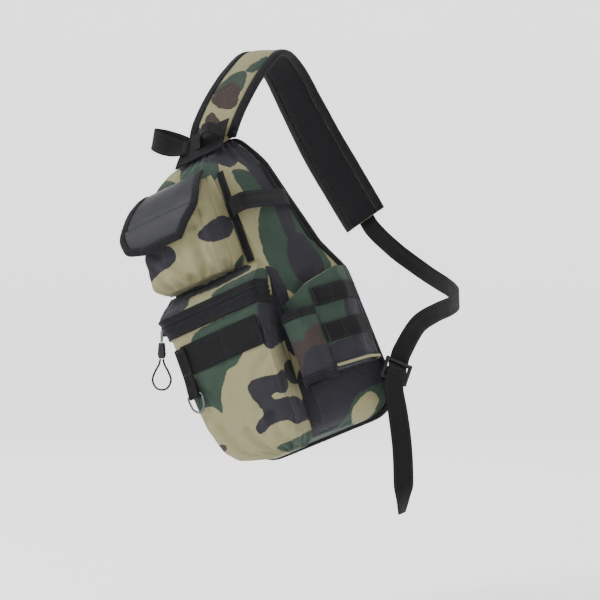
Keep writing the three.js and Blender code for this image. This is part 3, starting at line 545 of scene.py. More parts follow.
def slab_piece(name, grid, thick, material, row=False, edge=0.35):
    """An open grid given a thickness along its normals, with softly rounded edges all round."""
    grid = np.asarray(grid, float)
    n = normals(grid, False)
    outer, inner = grid + n * thick / 2, grid - n * thick / 2
    m, k = grid.shape[:2]

    def ring(sheet):
        return np.concatenate([sheet[0, :], sheet[1:, -1], sheet[-1, -2::-1], sheet[-2:0:-1, 0]])

    count = len(ring(grid))
    points = np.concatenate([outer.reshape(-1, 3), inner.reshape(-1, 3)])
    i, j = np.meshgrid(np.arange(m - 1), np.arange(k - 1), indexing="ij")
    top = np.stack([i * k + j, i * k + j + 1, (i + 1) * k + j + 1, (i + 1) * k + j], axis=-1).reshape(-1, 4)
    bottom = top[:, ::-1] + m * k
    index = np.arange(m * k).reshape(m, k)
    rim = ring(index)
    following = np.roll(rim, -1)
    middle_ring = (ring(outer) + ring(inner)) / 2
    away = np.roll(middle_ring, -1, axis=0) - np.roll(middle_ring, 1, axis=0)
    sideways = np.cross(away, ring(n))
    sideways /= np.maximum(np.linalg.norm(sideways, axis=1, keepdims=True), 1e-9)
    extra = middle_ring + sideways * thick * edge
    start = len(points)
    points = np.concatenate([points, extra])
    seam = start + np.arange(count)
    after = np.roll(seam, -1)
    side_a = np.stack([following, rim, seam, after], axis=-1)
    side_b = np.stack([after, seam, rim + m * k, following + m * k], axis=-1)
    faces = np.concatenate([top, bottom, side_a, side_b])
    u = lengths_along(grid[m // 2])
    v = lengths_along(grid[:, k // 2])
    uu, vv = np.meshgrid(u, v)
    flat = np.stack([uu, vv], axis=-1).reshape(-1, 2)
    each = np.concatenate([flat, flat, flat[rim]])
    placed = points if row else to_row(points)
    return make_piece(name, placed, faces.tolist(), material, each[faces].reshape(-1, 2))


def tube_piece(name, path, radius, material, sides=12, closed=False, row=False, cap=True):
    """A round tube along a path; radius is a number or one for each point."""
    path = np.asarray(path, float)
    ahead = np.roll(path, -1, axis=0) - np.roll(path, 1, axis=0) if closed else np.gradient(path, axis=0)
    ahead = unit(ahead)
    across = np.cross(ahead[0], [0.3, 0.2, 0.93])
    rings = []
    for at, along, r in zip(path, ahead, np.broadcast_to(radius, len(path))):
        across = across - along * (across @ along)
        across /= np.linalg.norm(across)
        other = np.cross(along, across)
        turn = np.linspace(0, 2 * math.pi, sides, endpoint=False)
        rings.append(at + r * (np.cos(turn)[:, None] * across + np.sin(turn)[:, None] * other))
    return grid_piece(name, np.array(rings), material, closed=True, cap=cap and not closed, row=row,
        wrap=closed)


def stitch_line(store, path, facing, pitch=3.6, length=2.4, thick=0.32, lift=0.15):
    """Adds raised stitches along a path to a store; facing is the cloth's outward normal at each point."""
    path, facing = np.asarray(path, float), np.asarray(facing, float)
    along = lengths_along(path)
    for start in np.arange(0.5, along[-1] - length, pitch):
        ends = [read_at(s, along, path) for s in (start, start + length)]
        out = read_at(start + length / 2, along, facing)
        out /= max(np.linalg.norm(out), 1e-9)
        ahead = ends[1] - ends[0]
        ahead /= max(np.linalg.norm(ahead), 1e-9)
        side = np.cross(ahead, out)
        middle = (ends[0] + ends[1]) / 2
        half = length / 2
        for t, s in ((-half, 0.0), (-half * 0.6, 1.0), (half * 0.6, 1.0), (half, 0.0)):
            for k in range(6):
                turn = 2 * math.pi * k / 6
                r = thick * (0.35 + 0.65 * s)
                store.append(middle + ahead * t + out * (lift + (r * math.sin(turn)) - (1 - s) * 0.35)
                    + side * r * math.cos(turn))


def stitches_piece(name, store, material, row=False):
    points = np.array(store).reshape(-1, 4, 6, 3)
    count = len(points)
    faces = []
    for s in range(count):
        base = s * 24
        for ring in range(3):
            for k in range(6):
                a, b = base + ring * 6 + k, base + ring * 6 + (k + 1) % 6
                faces.append((a, b, b + 6, a + 6))
        faces.append(tuple(base + k for k in range(5, -1, -1)))
        faces.append(tuple(base + 18 + k for k in range(6)))
    placed = points.reshape(-1, 3)
    return make_piece(name, placed if row else to_row(placed), faces, material)


# Camouflage print: blobs placed in the photograph's view, and a free print where it doesn't look; two
# near-black blobs are painted shade under the upper pocket, not print


def blob_distance(where, corners):
    """Signed distance from places to a smooth closed outline through the corners; inside is negative."""
    ring = spline(corners, 72, closed=True)
    after = np.roll(ring, -1, axis=0)
    flat = where.reshape(-1, 2)
    best = np.full(len(flat), 1e9)
    inside = np.zeros(len(flat), bool)
    for a, b in zip(ring, after):
        edge = b - a
        t = np.clip(((flat - a) @ edge) / max(edge @ edge, 1e-9), 0, 1)
        best = np.minimum(best, np.linalg.norm(flat - a - t[:, None] * edge, axis=1))
        crossing = (a[1] > flat[:, 1]) != (b[1] > flat[:, 1])
        slope = (b[0] - a[0]) / (b[1] - a[1] + 1e-12)
        inside ^= crossing & (flat[:, 0] < a[0] + (flat[:, 1] - a[1]) * slope)
    return np.where(inside, -best, best).reshape(where.shape[:-1])


PIXEL_MM = 1.35
PRINT_REACH = 40.0


def paint(piece, blobs, seed, facing_from=0.12):
    """Writes the camouflage's three layers on a piece's points, as distances to the edge of each blob; the
    near-black layer also carries painted shade where the blobs put it.
    """
    mesh = piece.data
    count = len(mesh.vertices)
    at, out = np.zeros(count * 3), np.zeros(count * 3)
    mesh.vertices.foreach_get("co", at)
    mesh.vertex_normals.foreach_get("vector", out)
    at, out = at.reshape(-1, 3) * MM_PER_METRE, out.reshape(-1, 3)
    seen = smooth(facing_from - 0.1, facing_from + 0.08, -(out @ LOOK))
    picture = in_picture(at)
    warped = at + 9 * np.stack([noise(at, 38, seed + k) for k in (3, 4, 5)], axis=-1)
    free_layers = {
        "green": (0.16 - noise(warped, 62, seed + 11)) * 60,
        "brown": (0.27 - noise(warped, 52, seed + 12)) * 52,
        "dark_and_shade": (0.2 - noise(warped, 56, seed + 13)) * 56,
    }
    for layer in ("green", "brown", "dark_and_shade"):
        placed = np.full(count, PRINT_REACH)
        for corners in blobs.get(layer, []):
            placed = np.minimum(placed, blob_distance(picture, corners) * PIXEL_MM)
        for corners in blobs.get("bare", []):
            placed = np.maximum(placed, -blob_distance(picture, corners) * PIXEL_MM)
        field = placed * seen + free_layers[layer] * (1 - seen)
        attribute = mesh.attributes.new("camo_" + layer, "FLOAT", "POINT")
        attribute.data.foreach_set("value", np.clip(field, -PRINT_REACH, PRINT_REACH).astype(np.float32))


def finish_piece(piece, slot, *nodes, fill=None):
    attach(piece, "root")
    if nodes:
        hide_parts(*nodes)
    return piece


# Sizes and section tables of the bag, as in its CAD source, in millimetres

BODY_H, BODY_W, BODY_D, PANEL = 432.0, 112.0, 92.0, 10.0
GAP = 0.3
BODY_ROWS = np.array([(0.023, .7, .71, .7, .25, .15), (.037, .86, .87, .89, .3, .16),
    (.07, .95, .96, .98, .34, .17), (.14, .98, .99, 1, .35, .17), (.48, 1, .955, 1, .35, .17),
    (.59, .99, .75, 1, .3, .28), (.79, .965, .55, 1, .21, .28), (.885, .91, .46, .98, .16, .28),
    (.925, .82, .39, .88, .08, .28), (.96, .68, .31, .72, .03, .26), (.985, .5, .25, .54, .02, .22),
    (1, .38, .2, .43, .02, .2)]) * np.array([BODY_H, BODY_W, BODY_W, BODY_D, BODY_W, BODY_D])
LOWER_H, LOWER_W, LOWER_PROUD = 250.0, 112.0, 50.0
LOWER_ROWS = np.array([(0, .39, .07, .52), (.012, .52, .13, .76), (.036, .68, .17, .9),
    (.104, .84, .19, .98), (.26, .94, .21, 1), (.44, .975, .23, 1), (.75, 1, .27, 1), (.9, 1.09, .34, .96),
    (.95, 1.05, .33, .55), (1, .97, .3, .12)]) * np.array([LOWER_H, LOWER_W, LOWER_W, LOWER_PROUD])
UPPER_BASE, UPPER_H, UPPER_W, UPPER_PROUD = 253.0, 130.0, 112.0, 50.0
UPPER_ROWS = np.array([
    (0, .93, .07, -.1, .66), (.07, 1, .12, -.02, .96), (.25, .965, .125, -.01, 1), (.46, .94, .125, -.01, 1),
    (.7, .92, .125, -.03, .86), (.9, .89, .11, -.05, .54), (1, .87, .1, -.06, .24),
]) * np.array([UPPER_H, UPPER_W, UPPER_W, UPPER_W, UPPER_PROUD]) + np.array([UPPER_BASE, 0, 0, 0, 0])
FLAP_W, FLAP_DROP, FLAP_PROUD = 126.0, 82.0, 60.0
FLAP_ROWS = np.array([(.02, 0, .77, 0), (.27, .085, .82, .01), (.56, .24, .88, .025), (.79, .43, .93, .03),
    (.94, .62, .975, -.01), (1, .8, .96, -.14), (1.005, .91, .92, -.215), (1, 1, .75, -.28)])
ZIP_LOW, ZIP_HIGH = 192.0, 222.0
BAND = (-96.0, 22.0, 138.0, 178.0)


# Camera, floor and light

camera_data = bpy.data.cameras.new("camera")
camera_data.lens = LENS
camera_data.sensor_width = SENSOR
camera_data.clip_end = 50
camera = bpy.data.objects.new("camera", camera_data)
bpy.context.scene.collection.objects.link(camera)
camera.location = Vector(CAMERA_AT / MM_PER_METRE)
camera.rotation_mode = "QUATERNION"
camera.rotation_quaternion = Vector(LOOK).to_track_quat("-Z", "Y")
bpy.context.scene.camera = camera


def studio():
    """A pale floor that curves up into a backdrop all round, and soft lights."""
    m = new_material("studio", (0.86, 0.86, 0.86), 0.9)
    shader = m.node_tree.nodes["Principled BSDF"]
    base = flat_color(m, (0.86, 0.86, 0.86))
    base = tint(m, base, object_noise(m, 2.0), 0.985, 1.015)
    join(m, base, shader.inputs["Base Color"])
    radii = np.array([0.0, 2000, 3600, 4400, 4900, 5200, 5300, 5300])
    rise = np.array([0.0, 0, 0, 90, 320, 800, 1600, 5200])
    turn = np.linspace(0, 2 * math.pi, 96, endpoint=False)
    grid = np.stack([
        radii[:, None] * np.cos(turn), radii[:, None] * np.sin(turn),
        np.broadcast_to(rise[:, None], (len(rise), len(turn))) - 760.0], axis=-1)
    shader.inputs["Emission Color"].default_value = (1, 1, 1, 1)
    shader.inputs["Emission Strength"].default_value = 0.78
    floor = grid_piece("floor", grid[:, ::-1], m, closed=True, row=True)
    world = bpy.data.worlds.new("studio_world")
    world.use_nodes = True
    world.node_tree.nodes["Background"].inputs["Color"].default_value = (1, 1, 1, 1)
    world.node_tree.nodes["Background"].inputs["Strength"].default_value = 0.2
    bpy.context.scene.world = world
    for name, at, size, power in (("key", (-1.7, -2.1, 1.7), 0.9, 92), ("fill", (2.6, -1.6, 0.4), 2.2, 8),
        ("back", (-1.2, 2.4, 1.2), 2.0, 20), ("top", (0.2, -0.2, 2.6), 1.6, 26)):
        data = bpy.data.lights.new(name, "AREA")
        data.size = size
        data.energy = power
        lamp = bpy.data.objects.new(name, data)
        bpy.context.scene.collection.objects.link(lamp)
        lamp.location = at
        lamp.rotation_mode = "QUATERNION"
        lamp.rotation_quaternion = (Vector((0.05, -0.1, -0.32)) - Vector(at)).to_track_quat("-Z", "Y")


studio()

seams = []
seams_row = []


# Main compartment


BODY_SIDES = (44, 30, 4, 60, 24)


def body_corners(heights, soft=6.0):
    left, right, front, slant_in, slant_back = from_table(BODY_ROWS, heights, soft).T
    back = np.full_like(left, -PANEL)
    return plan_corners((-left, -front), (slant_in, -front), (right, -slant_back), (right, back),
        (-left, back))


def main_compartment():
    heights = stages(10, (30, 14), (380, 130), (432, 30))
    ring = outline(body_corners(heights), [22, 14, 14, 5, 5], BODY_SIDES, ARC)
    grid = upright(ring, heights)
    out = normals(grid, True)
    n = grid.shape[1]
    column = np.arange(n)[None, :]
    up = heights[:, None] / BODY_H
    swell = 2.0 * arch(heights, 10, 422)[:, None] * np.ones((1, n))
    ripple = 0.9 * noise(grid * [1, 1, 0.6], 34, 2) + 0.9 * crumple(grid * [1, 1, 0.7], 46, 3)
    gather = smooth(0.82, 1.0, up) * 1.6 * np.sin(column * 0.55 + 2 * noise(grid, 60, 5))
    low_gather = smooth(0.12, 0.02, up) * 1.1 * np.sin(column * 0.6 + 2 * noise(grid, 50, 6))
    offset = -1.6 + swell * 0.5 + ripple * 1.4 + gather * 0.6 + low_gather * 0.6
    for corner in range(3):
        at = corner_column(BODY_SIDES, corner) + SEAM_IN_ARC
        offset = offset + seam_ridge(column, at, n, 1.0, 0.8)
    back_row = (grid[..., 1] > -PANEL - 1.5)
    offset = np.where(back_row, -0.3, offset)
    grid = grid + out * offset[..., None]
    ends = ((0.92, 2.6), (0.7, 4.0), (0.4, 4.6), (0.1, 4.8))
    grid = with_ends(grid, ends, 9.6, 0.2, BODY_H - 0.6, 0.2)
    return grid_piece("bag_body", grid, CAMO, closed=True, cap=True)


BODY_BLOBS = {
    "green": [
        [(180, 188), (182, 170), (192, 160), (206, 159), (218, 163), (217, 178), (206, 183), (196, 180),
            (189, 190)],
        [(158, 190), (166, 181), (178, 185), (172, 196), (160, 198)],
        [(232, 172), (245, 170), (262, 180), (272, 196), (262, 205), (246, 194)],
        [(262, 205), (286, 198), (306, 226), (330, 262), (340, 298), (310, 300), (280, 282), (260, 240)],
        [(211, 306), (213, 294), (222, 286), (240, 276), (262, 280), (262, 300), (232, 312)],
        [(256, 476), (258, 448), (290, 434), (318, 424), (345, 432), (332, 458), (292, 474)],
        [(326, 456), (334, 424), (350, 398), (378, 380), (408, 368), (408, 412), (372, 444)],
    ],
    "dark_and_shade": [
        [(174, 164), (180, 148), (198, 134), (232, 134), (240, 152), (232, 167), (214, 163), (196, 163),
            (184, 171)],
        [(234, 146), (243, 147), (264, 165), (281, 190), (294, 222), (298, 242), (287, 238), (276, 210),
            (261, 187), (245, 167), (232, 157)],
        [(292, 232), (308, 240), (324, 266), (316, 288), (298, 278), (287, 254)],
        # Painted shade: the shadow gap under the upper pocket, as a near-black blob on the body.
        [(150, 308), (176, 295), (210, 282), (246, 265), (249, 274), (214, 292), (180, 305), (156, 315)],
        [(262, 272), (278, 272), (292, 306), (303, 346), (294, 356), (278, 332)],
        [(150, 330), (152, 300), (170, 290), (188, 292), (190, 306), (184, 318), (170, 326)],
        [(296, 384), (306, 364), (340, 354), (394, 336), (404, 372), (378, 384), (356, 396), (346, 418),
            (322, 434), (300, 432)],
    ],
    "bare": [[(352, 412), (360, 398), (371, 391), (378, 398), (374, 412), (362, 424), (353, 424)]],
}

body = main_compartment()
paint(body, BODY_BLOBS, 1)
finish_piece(body, "camouflage", "main_compartment")


def from_line(a, c, a1, c1, a2, c2):
    """How far places lie from a straight line between two of them, all seen from the front."""
    line = np.array([a2 - a1, c2 - c1])
    t = np.clip(((a - a1) * line[0] + (c - c1) * line[1]) / (line @ line), 0, 1)
    return np.hypot(a - a1 - t * line[0], c - c1 - t * line[1])


def pressed_folds(a, c, lines, raised, share):
    """Folds along lines, each (a, c) to (a, c) with its width and depth, with a low swell on both sides."""
    folds = np.zeros_like(a)
    for a1, c1, a2, c2, width, depth in lines:
        away = from_line(a, c, a1, c1, a2, c2)
        folds += depth * (bell(away, 0, width) - raised * bell(away, width * 1.8, width)) * share
    return folds


# Lower front pocket, its zip and its webbing band

LOWER_FOLDS = ((-30, 8, -44, 42, 5, -3.0), (0, 6, -5, 48, 6, -2.8), (16, 30, -16, 66, 7, -2.4),
    (-60, 18, -78, 58, 6, -2.6), (-96, 124, -66, 94, 6, -2.2), (20, 124, -10, 102, 6, -2.2))
UPPER_FOLDS = ((-24, 260, -21, 320, 7.0, -6.0), (-12, 296, -6, 340, 6, -3.6), (-50, 258, -64, 282, 5, -2.6),
    (-84, 262, -94, 290, 6, -2.4), (-2, 260, -8, 294, 5, -2.6), (-104, 320, -80, 300, 6, -2.2))


def proud_corners(left, right, shoulder, proud, seat=-BODY_D - GAP):
    back = np.full_like(left, seat)
    return plan_corners((-left, seat - proud), (shoulder, seat - proud), (right, back), (-left, back))


LOWER_SIDES = (70, 26, 30, 22)
UPPER_SIDES = (64, 26, 30, 22)


def lower_ring(heights):
    left, right, proud = from_table(LOWER_ROWS, heights, 4.0).T
    corners = proud_corners(left, right, right, proud)
    return outline(corners, [18, 9, 2, 2], LOWER_SIDES, ARC)


def lower_pocket():
    heights = stages(0, (30, 22), (225, 96), (250, 18))
    grid = upright(lower_ring(heights), heights)
    out = normals(grid, True)
    n = grid.shape[1]
    column = np.arange(n)[None, :] * np.ones((len(heights), 1))
    a, c = grid[..., 0], grid[..., 2]
    front = smooth(-BODY_D - 20, -BODY_D - 44, grid[..., 1])
    belly = 2.4 * arch(c, 8, 170) * arch(a, -112, 140) * front
    ripple = 0.8 * noise(grid, 42, 21) + 0.9 * crumple(grid * [1, 1, 0.7], 44, 22)
    tuck = smooth(26, 2, c) * (1.5 * np.sin(column * 0.42 + 2.5 * noise(grid, 40, 23)))
    folds = pressed_folds(a, c, LOWER_FOLDS, 0.5, front)
    offset = -1.4 + belly + ripple * 1.2 + tuck * 1.1 + folds
    for corner in range(2):
        at = corner_column(LOWER_SIDES, corner) + SEAM_IN_ARC
        offset = offset + seam_ridge(column, at, n, 1.1, 0.9)
    zip_zone = smooth(ZIP_LOW - 2, ZIP_LOW + 1, c) * smooth(ZIP_HIGH + 2, ZIP_HIGH - 1, c)
    offset = offset * (1 - zip_zone) - 1.9 * zip_zone
    pinch = smooth(ZIP_LOW - 16, ZIP_LOW - 2, c) * (1 - zip_zone)
    offset = offset - 0.5 * pinch
    back = smooth(-BODY_D - 4, -BODY_D - 1, grid[..., 1])
    offset = offset * (1 - back)
    grid = grid + out * offset[..., None]
    ends = ((0.85, 1.0), (0.55, 1.6), (0.2, 1.9))
    grid = with_ends(grid, ends, grid[0, :, 2].min(), 0.3, grid[-1, :, 2].max(), 0.3)
    return grid_piece("lower_pocket", grid, CAMO, closed=True, cap=True)


LOWER_BLOBS = {
    "green": [
        [(196, 377), (190, 368), (214, 356), (242, 346), (240, 359), (237, 364), (228, 370), (225, 377),
            (222.5, 389), (221.5, 400), (223, 413), (218, 410), (211, 406.5), (205, 408), (198, 414),
            (193, 395)],
        [(195, 333), (232, 313), (272, 294), (275, 312), (232, 334), (196, 352)],
        [(212, 298), (216, 290), (232, 281), (262, 268), (266, 282), (236, 296)],
        [(276, 448), (296, 438), (322, 425), (328, 436), (296, 452)],
    ],
    "dark_and_shade": [
        [(283, 369), (288, 380), (288, 388), (284, 393), (276, 393), (271, 396), (276, 399), (287, 397),
            (298, 397), (310, 414), (298, 424), (286, 420), (272, 425), (261, 434), (256, 430), (258, 421),
            (264, 415), (260, 407), (252, 398), (248, 389), (250, 382), (260, 377), (272, 375), (278, 373)],
        [(257, 311), (268, 298), (286, 294), (289, 334), (282, 342), (266, 347)],
        [(284, 364), (302, 358), (307, 379), (290, 383)],
        [(302, 399), (322, 391), (327, 416), (308, 420)],
        [(150, 326), (156, 300), (176, 290), (188, 292), (188, 304), (178, 316)],
        # Painted shade: the shadow under the upper pocket, as a near-black blob on this pocket's top.
        [(150, 306), (176, 295), (210, 282), (246, 265), (248, 271), (214, 288), (180, 301), (156, 312)],
    ],
    "brown": [[(218.5, 446), (226, 445), (226.5, 451), (221, 452)]],
}

pocket = lower_pocket()
paint(pocket, LOWER_BLOBS, 2, facing_from=-0.1)
finish_piece(pocket, "camouflage", "front_pocket")


def zip_teeth(name, frames, base, crest):
    """Teeth from frames of place, ahead, aside and out; base and crest: half length, half width, height."""
    signs = ((-1, -1), (1, -1), (1, 1), (-1, 1))
    corners = [(x * i, y * j, z) for x, y, z in (base, crest) for i, j in signs]
    teeth = [[at + ahead * x + aside * y + out * z for x, y, z in corners]
        for at, ahead, aside, out in frames]
    box = np.array([(0, 3, 2, 1), (4, 5, 6, 7), (0, 1, 5, 4), (1, 2, 6, 5), (2, 3, 7, 6), (3, 0, 4, 7)])
    faces = (box[None] + 8 * np.arange(len(teeth))[:, None, None]).reshape(-1, 4)
    finish_piece(make_piece(name, to_row(np.array(teeth).reshape(-1, 3)), faces.tolist(), COIL), "plastic")


def front_zip():
    """Tape, coil and rain edge of the pocket's zip: ridges that run right round the pocket's top."""
    profile = [(ZIP_LOW + 0.3, -1.8), (ZIP_LOW + 0.8, 0.4), (ZIP_LOW + 2.2, 0.9), (ZIP_LOW + 3.4, 0.1),
        (196.8, -0.2), (200.2, -0.2), (203.0, 0.0), (204.2, 0.9), (205.6, 1.5), (207.0, 0.9), (208.0, -0.6),
        (209.0, -0.9), (210.2, 0.2), (211.6, 1.3), (213.0, 0.6), (214.2, -0.3), (216.4, -0.2), (218.2, 0.2),
        (219.4, 1.1), (220.8, 1.0), (221.6, 0.2), (221.8, -1.8)]
    heights = np.array([h for h, lift in profile])
    lifts = np.array([lift for h, lift in profile])
    ring = upright(lower_ring(heights), heights)
    out = normals(ring, True)
    first = corner_column(LOWER_SIDES, 2) - 4
    last = corner_column(LOWER_SIDES, 3) + ARC + 4
    order = np.concatenate([np.arange(last, ring.shape[1]), np.arange(0, first)])
    strip = (ring + out * lifts[:, None, None])[:, order]
    wave = 0.25 * noise(strip, 24, 31)
    strip = strip + out[:, order] * wave[..., None]
    piece = slab_piece("pocket_zip", strip, 1.2, ZIP_TAPE, edge=0.1)
    finish_piece(piece, "zip_tape", "front_pocket_zip")
    middle = upright(lower_ring(np.array([208.4, 208.5])), np.array([208.4, 208.5]))
    face = normals(middle, True)[0][order]
    line = middle[0][order]
    along = lengths_along(line)
    up = np.array([0, 0, 1])
    frames = []
    for stop in np.arange(4, along[-1] - 4, 1.5):
        out_here = read_at(stop, along, face)
        out_here /= np.linalg.norm(out_here)
        frames.append((read_at(stop, along, line), np.cross(up, out_here), up, out_here))
    zip_teeth("pocket_zip_teeth", frames, (0.45, 1.6, -0.7), (0.3, 1.2, 0.35))


front_zip()


def webbing_band():
    left, right, low, high = BAND
    a = np.linspace(left, right, 60)
    c = np.linspace(low + 0.4, high - 0.4, 22)
    aa, cc = np.meshgrid(a, c)
    belly = 2.2 * arch(cc, 8, 170) * arch(aa, -112, 140)
    bb = -(BODY_D + GAP + LOWER_PROUD + 1.0) - belly * 0.85
    grid = np.stack([aa, bb, cc], axis=-1)
    for at, depth in ((left + 3, 0.5), (-36.5, 0.6), (right - 3, 0.5)):
        grid[..., 1] += depth * bell(aa, at, 2.2)
    grid[..., 1] += 0.25 * noise(grid, 18, 41)
    piece = slab_piece("webbing_band", grid, 1.6, WEBBING)
    finish_piece(piece, "webbing", "front_webbing_band")
    for at in (left + 2.2, left + 4.4, -37.6, -35.4, right - 4.4, right - 2.2):
        b = np.interp(at, a, grid[10, :, 1])
        path = [(at, b - 0.95, h) for h in np.linspace(low + 1.5, high - 1.5, 8)]
        stitch_line(seams, path, [(0, -1, 0)] * 8, pitch=2.6, length=1.8)


webbing_band()


# Upper front pocket


def upper_pocket():
    heights = np.linspace(UPPER_BASE, UPPER_BASE + UPPER_H, 84)
    left, right, shoulder, proud = from_table(UPPER_ROWS, heights, 4.0).T
    ring = outline(proud_corners(left, right, shoulder, proud), [16, 14, 2, 2], UPPER_SIDES, ARC)
    grid = upright(ring, heights)
    out = normals(grid, True)
    n = grid.shape[1]
    column = np.arange(n)[None, :] * np.ones((len(heights), 1))
    a, c = grid[..., 0], grid[..., 2]
    front = smooth(-BODY_D - 14, -BODY_D - 34, grid[..., 1])
    belly = 2.2 * arch(c, 255, 110) * arch(a, -112, 118) * front
    ripple = 0.8 * noise(grid, 36, 51) + 0.9 * crumple(grid * [1, 1, 0.7], 38, 52)
    tuck = smooth(UPPER_BASE + 20, UPPER_BASE, c) * 1.4 * np.sin(column * 0.4 + 2.5 * noise(grid, 40, 53))
    folds = pressed_folds(a, c, UPPER_FOLDS, 0.45, front)
    offset = -1.3 + belly + ripple * 1.2 + tuck * 1.1 + folds
    for corner in range(2):
        at = corner_column(UPPER_SIDES, corner) + SEAM_IN_ARC
        offset = offset + seam_ridge(column, at, n, 1.0, 0.8)
    gusset = corner_column(UPPER_SIDES, 1) + ARC
    side = (column > gusset + 10) & (column < gusset + 16)
    offset = offset - 1.4 * np.where(side, 1, 0) * bell(column, gusset + 13, 1.6)
    offset = offset + 0.8 * bell(column, gusset + 9, 1.4)
    back = smooth(-BODY_D - 4, -BODY_D - 1, grid[..., 1])
    offset = offset * (1 - back)
    grid = grid + out * offset[..., None]
    ends = ((0.9, 1.0), (0.6, 2.2), (0.2, 2.8))
    grid = with_ends(grid, ends, UPPER_BASE, 0.2, UPPER_BASE + UPPER_H, -4)
    return grid_piece("upper_pocket_cloth", grid, CAMO, closed=True, cap=True)


UPPER_BLOBS = {
    "dark_and_shade": [
        [(128, 246), (146, 247), (164, 246), (174, 250), (176, 259), (171, 266), (163, 271), (154, 279),
            (146, 290), (134, 284)],
        [(197.5, 235), (202, 229), (210, 222), (218, 216.5), (226, 216), (233, 222), (231, 235), (220, 240),
            (210, 242), (202, 240)],
    ],
    "green": [[(236, 262), (250, 252), (262, 266), (246, 282), (236, 276)]],
}

upper = upper_pocket()
paint(upper, UPPER_BLOBS, 3, facing_from=-0.1)
finish_piece(upper, "camouflage", "upper_pocket")


# Flap


def flap():
    count = 190
    t = np.linspace(0, 1, 46)
    rows = spline(FLAP_ROWS, 46)
    out = -(BODY_D + GAP) - rows[:, 0] * FLAP_PROUD
    up = UPPER_BASE + UPPER_H + 8 - rows[:, 1] * FLAP_DROP
    left, right = -rows[:, 2] * FLAP_W, rows[:, 3] * FLAP_W
    s = np.linspace(0, 1, 60)
    a = left[:, None] * (1 - s) + right[:, None] * s
    b = np.broadcast_to(out[:, None], a.shape).copy()
    c = np.broadcast_to(up[:, None], a.shape).copy()
    grid = np.stack([a, b, c], axis=-1)
    n = normals(grid, False)
    if n[20, 30, 1] > 0:
        n = -n
    along = s[None, :] * np.ones_like(a)
    down = t[:, None] * np.ones_like(a)
    bow = 1.0 * np.sin(np.pi * along) * np.sin(np.pi * np.clip(down, 0, 1))
    crease = -1.5 * bell(c, 349, 1.5) + 1.2 * bell(c, 345.5, 2.4) + 0.6 * bell(c, 352.5, 2.6)
    ripple = 0.5 * noise(grid, 40, 61) + 0.25 * noise(grid, 14, 62)
    grid = grid + n * (1.2 + bow + crease * smooth(0.02, 0.1, along) * smooth(1.0, 0.9, along) + ripple)[...,
        None]
    piece = slab_piece("flap_cloth", grid, 2.2, COATED)
    finish_piece(piece, "coated_cloth", "pocket_flap")
    n = normals(grid, False)
    if n[20, 30, 1] > 0:
        n = -n
    edge = np.concatenate([grid[:, 0], grid[-1, 1:-1], grid[::-1, -1]])
    edge_out = np.concatenate([n[:, 0], n[-1, 1:-1], n[::-1, -1]])
    path = spline(edge, count)
    facing = unit(read_at(np.linspace(0, 1, count), np.linspace(0, 1, len(edge)), edge_out))
    ahead = directions(path)
    inward = np.cross(facing, ahead)
    centre = grid.reshape(-1, 3).mean(0)
    if ((centre - path) * inward).sum() < 0:
        inward = -inward
    section = [(9.5, 1.1), (9.8, 2.0), (8.6, 2.5), (5, 2.6), (1.2, 2.4), (-0.9, 1.2), (-1.2, 0),
        (-0.9, -1.2), (1.2, -2.0), (6, -1.9), (6.2, -1.2)]
    rings = np.array([path + inward * x + facing * y for x, y in section]).transpose(1, 0, 2)
    lift = 0.18 * np.sin(np.arange(count) * 1.3)[:, None, None] * facing[:, None, :]
    tape = grid_piece("flap_tape", rings + lift, TAPE, closed=True, cap=True)
    finish_piece(tape, "binding", "flap_binding")
    stitch_line(seams, path + inward * 8.0 + facing * 2.5, facing, pitch=3.4, length=2.3)


flap()


# Corner pocket with its webbing rows, and the rod sleeve

CORNER_BASE, CORNER_H, CORNER_SLOPE, CORNER_BEND = 78.0, 118.0, 0.38, 83.0


def corner_plan():
    seat = -BODY_D - GAP
    right, front, slant_in, slant_back = from_table(BODY_ROWS, np.array([CORNER_BASE]), 1.0)[0, 1:]
    slant = np.array([right - slant_in, front - slant_back])
    clear = 1.1 * GAP * np.linalg.norm(slant) / slant[0]
    start = slant_in + 10
    return np.array([(start, seat - 3.5), (CORNER_BEND, seat - 3.5), (117, -57), (117, -22),
        (right, -slant_back - clear), (slant_in, -front - clear)])


CORNER_PLAN = corner_plan()
CORNER_SIDES = (30, 26, 16, 4, 34, 6)
CORNER_SEAT_COLUMN = 96


def corner_ring(count):
    return outline(CORNER_PLAN[None].repeat(count, 0), [2, 14, 16, 2, 1, 1], CORNER_SIDES, ARC)


def corner_pocket():
    levels = stages(0, (0.12, 8), (1, 56))
    ring = corner_ring(len(levels))
    top = CORNER_BASE + CORNER_H + (ring[..., 0] - CORNER_BEND) * CORNER_SLOPE
    heights = CORNER_BASE + levels[:, None] * (top - CORNER_BASE)
    grid = np.concatenate([ring, heights[..., None]], axis=-1)
    out = normals(grid, True)
    column = np.arange(grid.shape[1])[None, :]
    outer = smooth(0, 3, column * np.ones_like(heights)) * (column < CORNER_SEAT_COLUMN)
    ripple = 0.5 * noise(grid, 30, 71) + 0.6 * crumple(grid, 34, 72)
    round_low = -7.0 * (1 - smooth(0, 0.1, levels))[:, None] ** 2
    offset = (-0.9 + ripple * 1.2) * outer + round_low * outer
    grid = grid + out * offset[..., None]
    inner = grid - out * 1.8
    floor_up = 6
    rings = [inner[k] for k in range(len(levels) - 1, floor_up, -3)]
    ring_mid = inner[floor_up]
    centre = ring_mid.mean(0)
    floor = [centre + (ring_mid - centre) * s for s in (0.6, 0.2)]
    low = grid[0]
    low_centre = low.mean(0)
    under = [low_centre + (low - low_centre) * s for s in (0.2, 0.6, 0.9)]
    crest = (grid[-1] + inner[-1]) / 2 + np.array([0, 0, 0.9])
    whole = np.concatenate([np.array(under), grid, crest[None], np.array(rings), np.array(floor)])
    return grid_piece("corner_pocket_cloth", whole, CAMO, closed=True, cap=True)


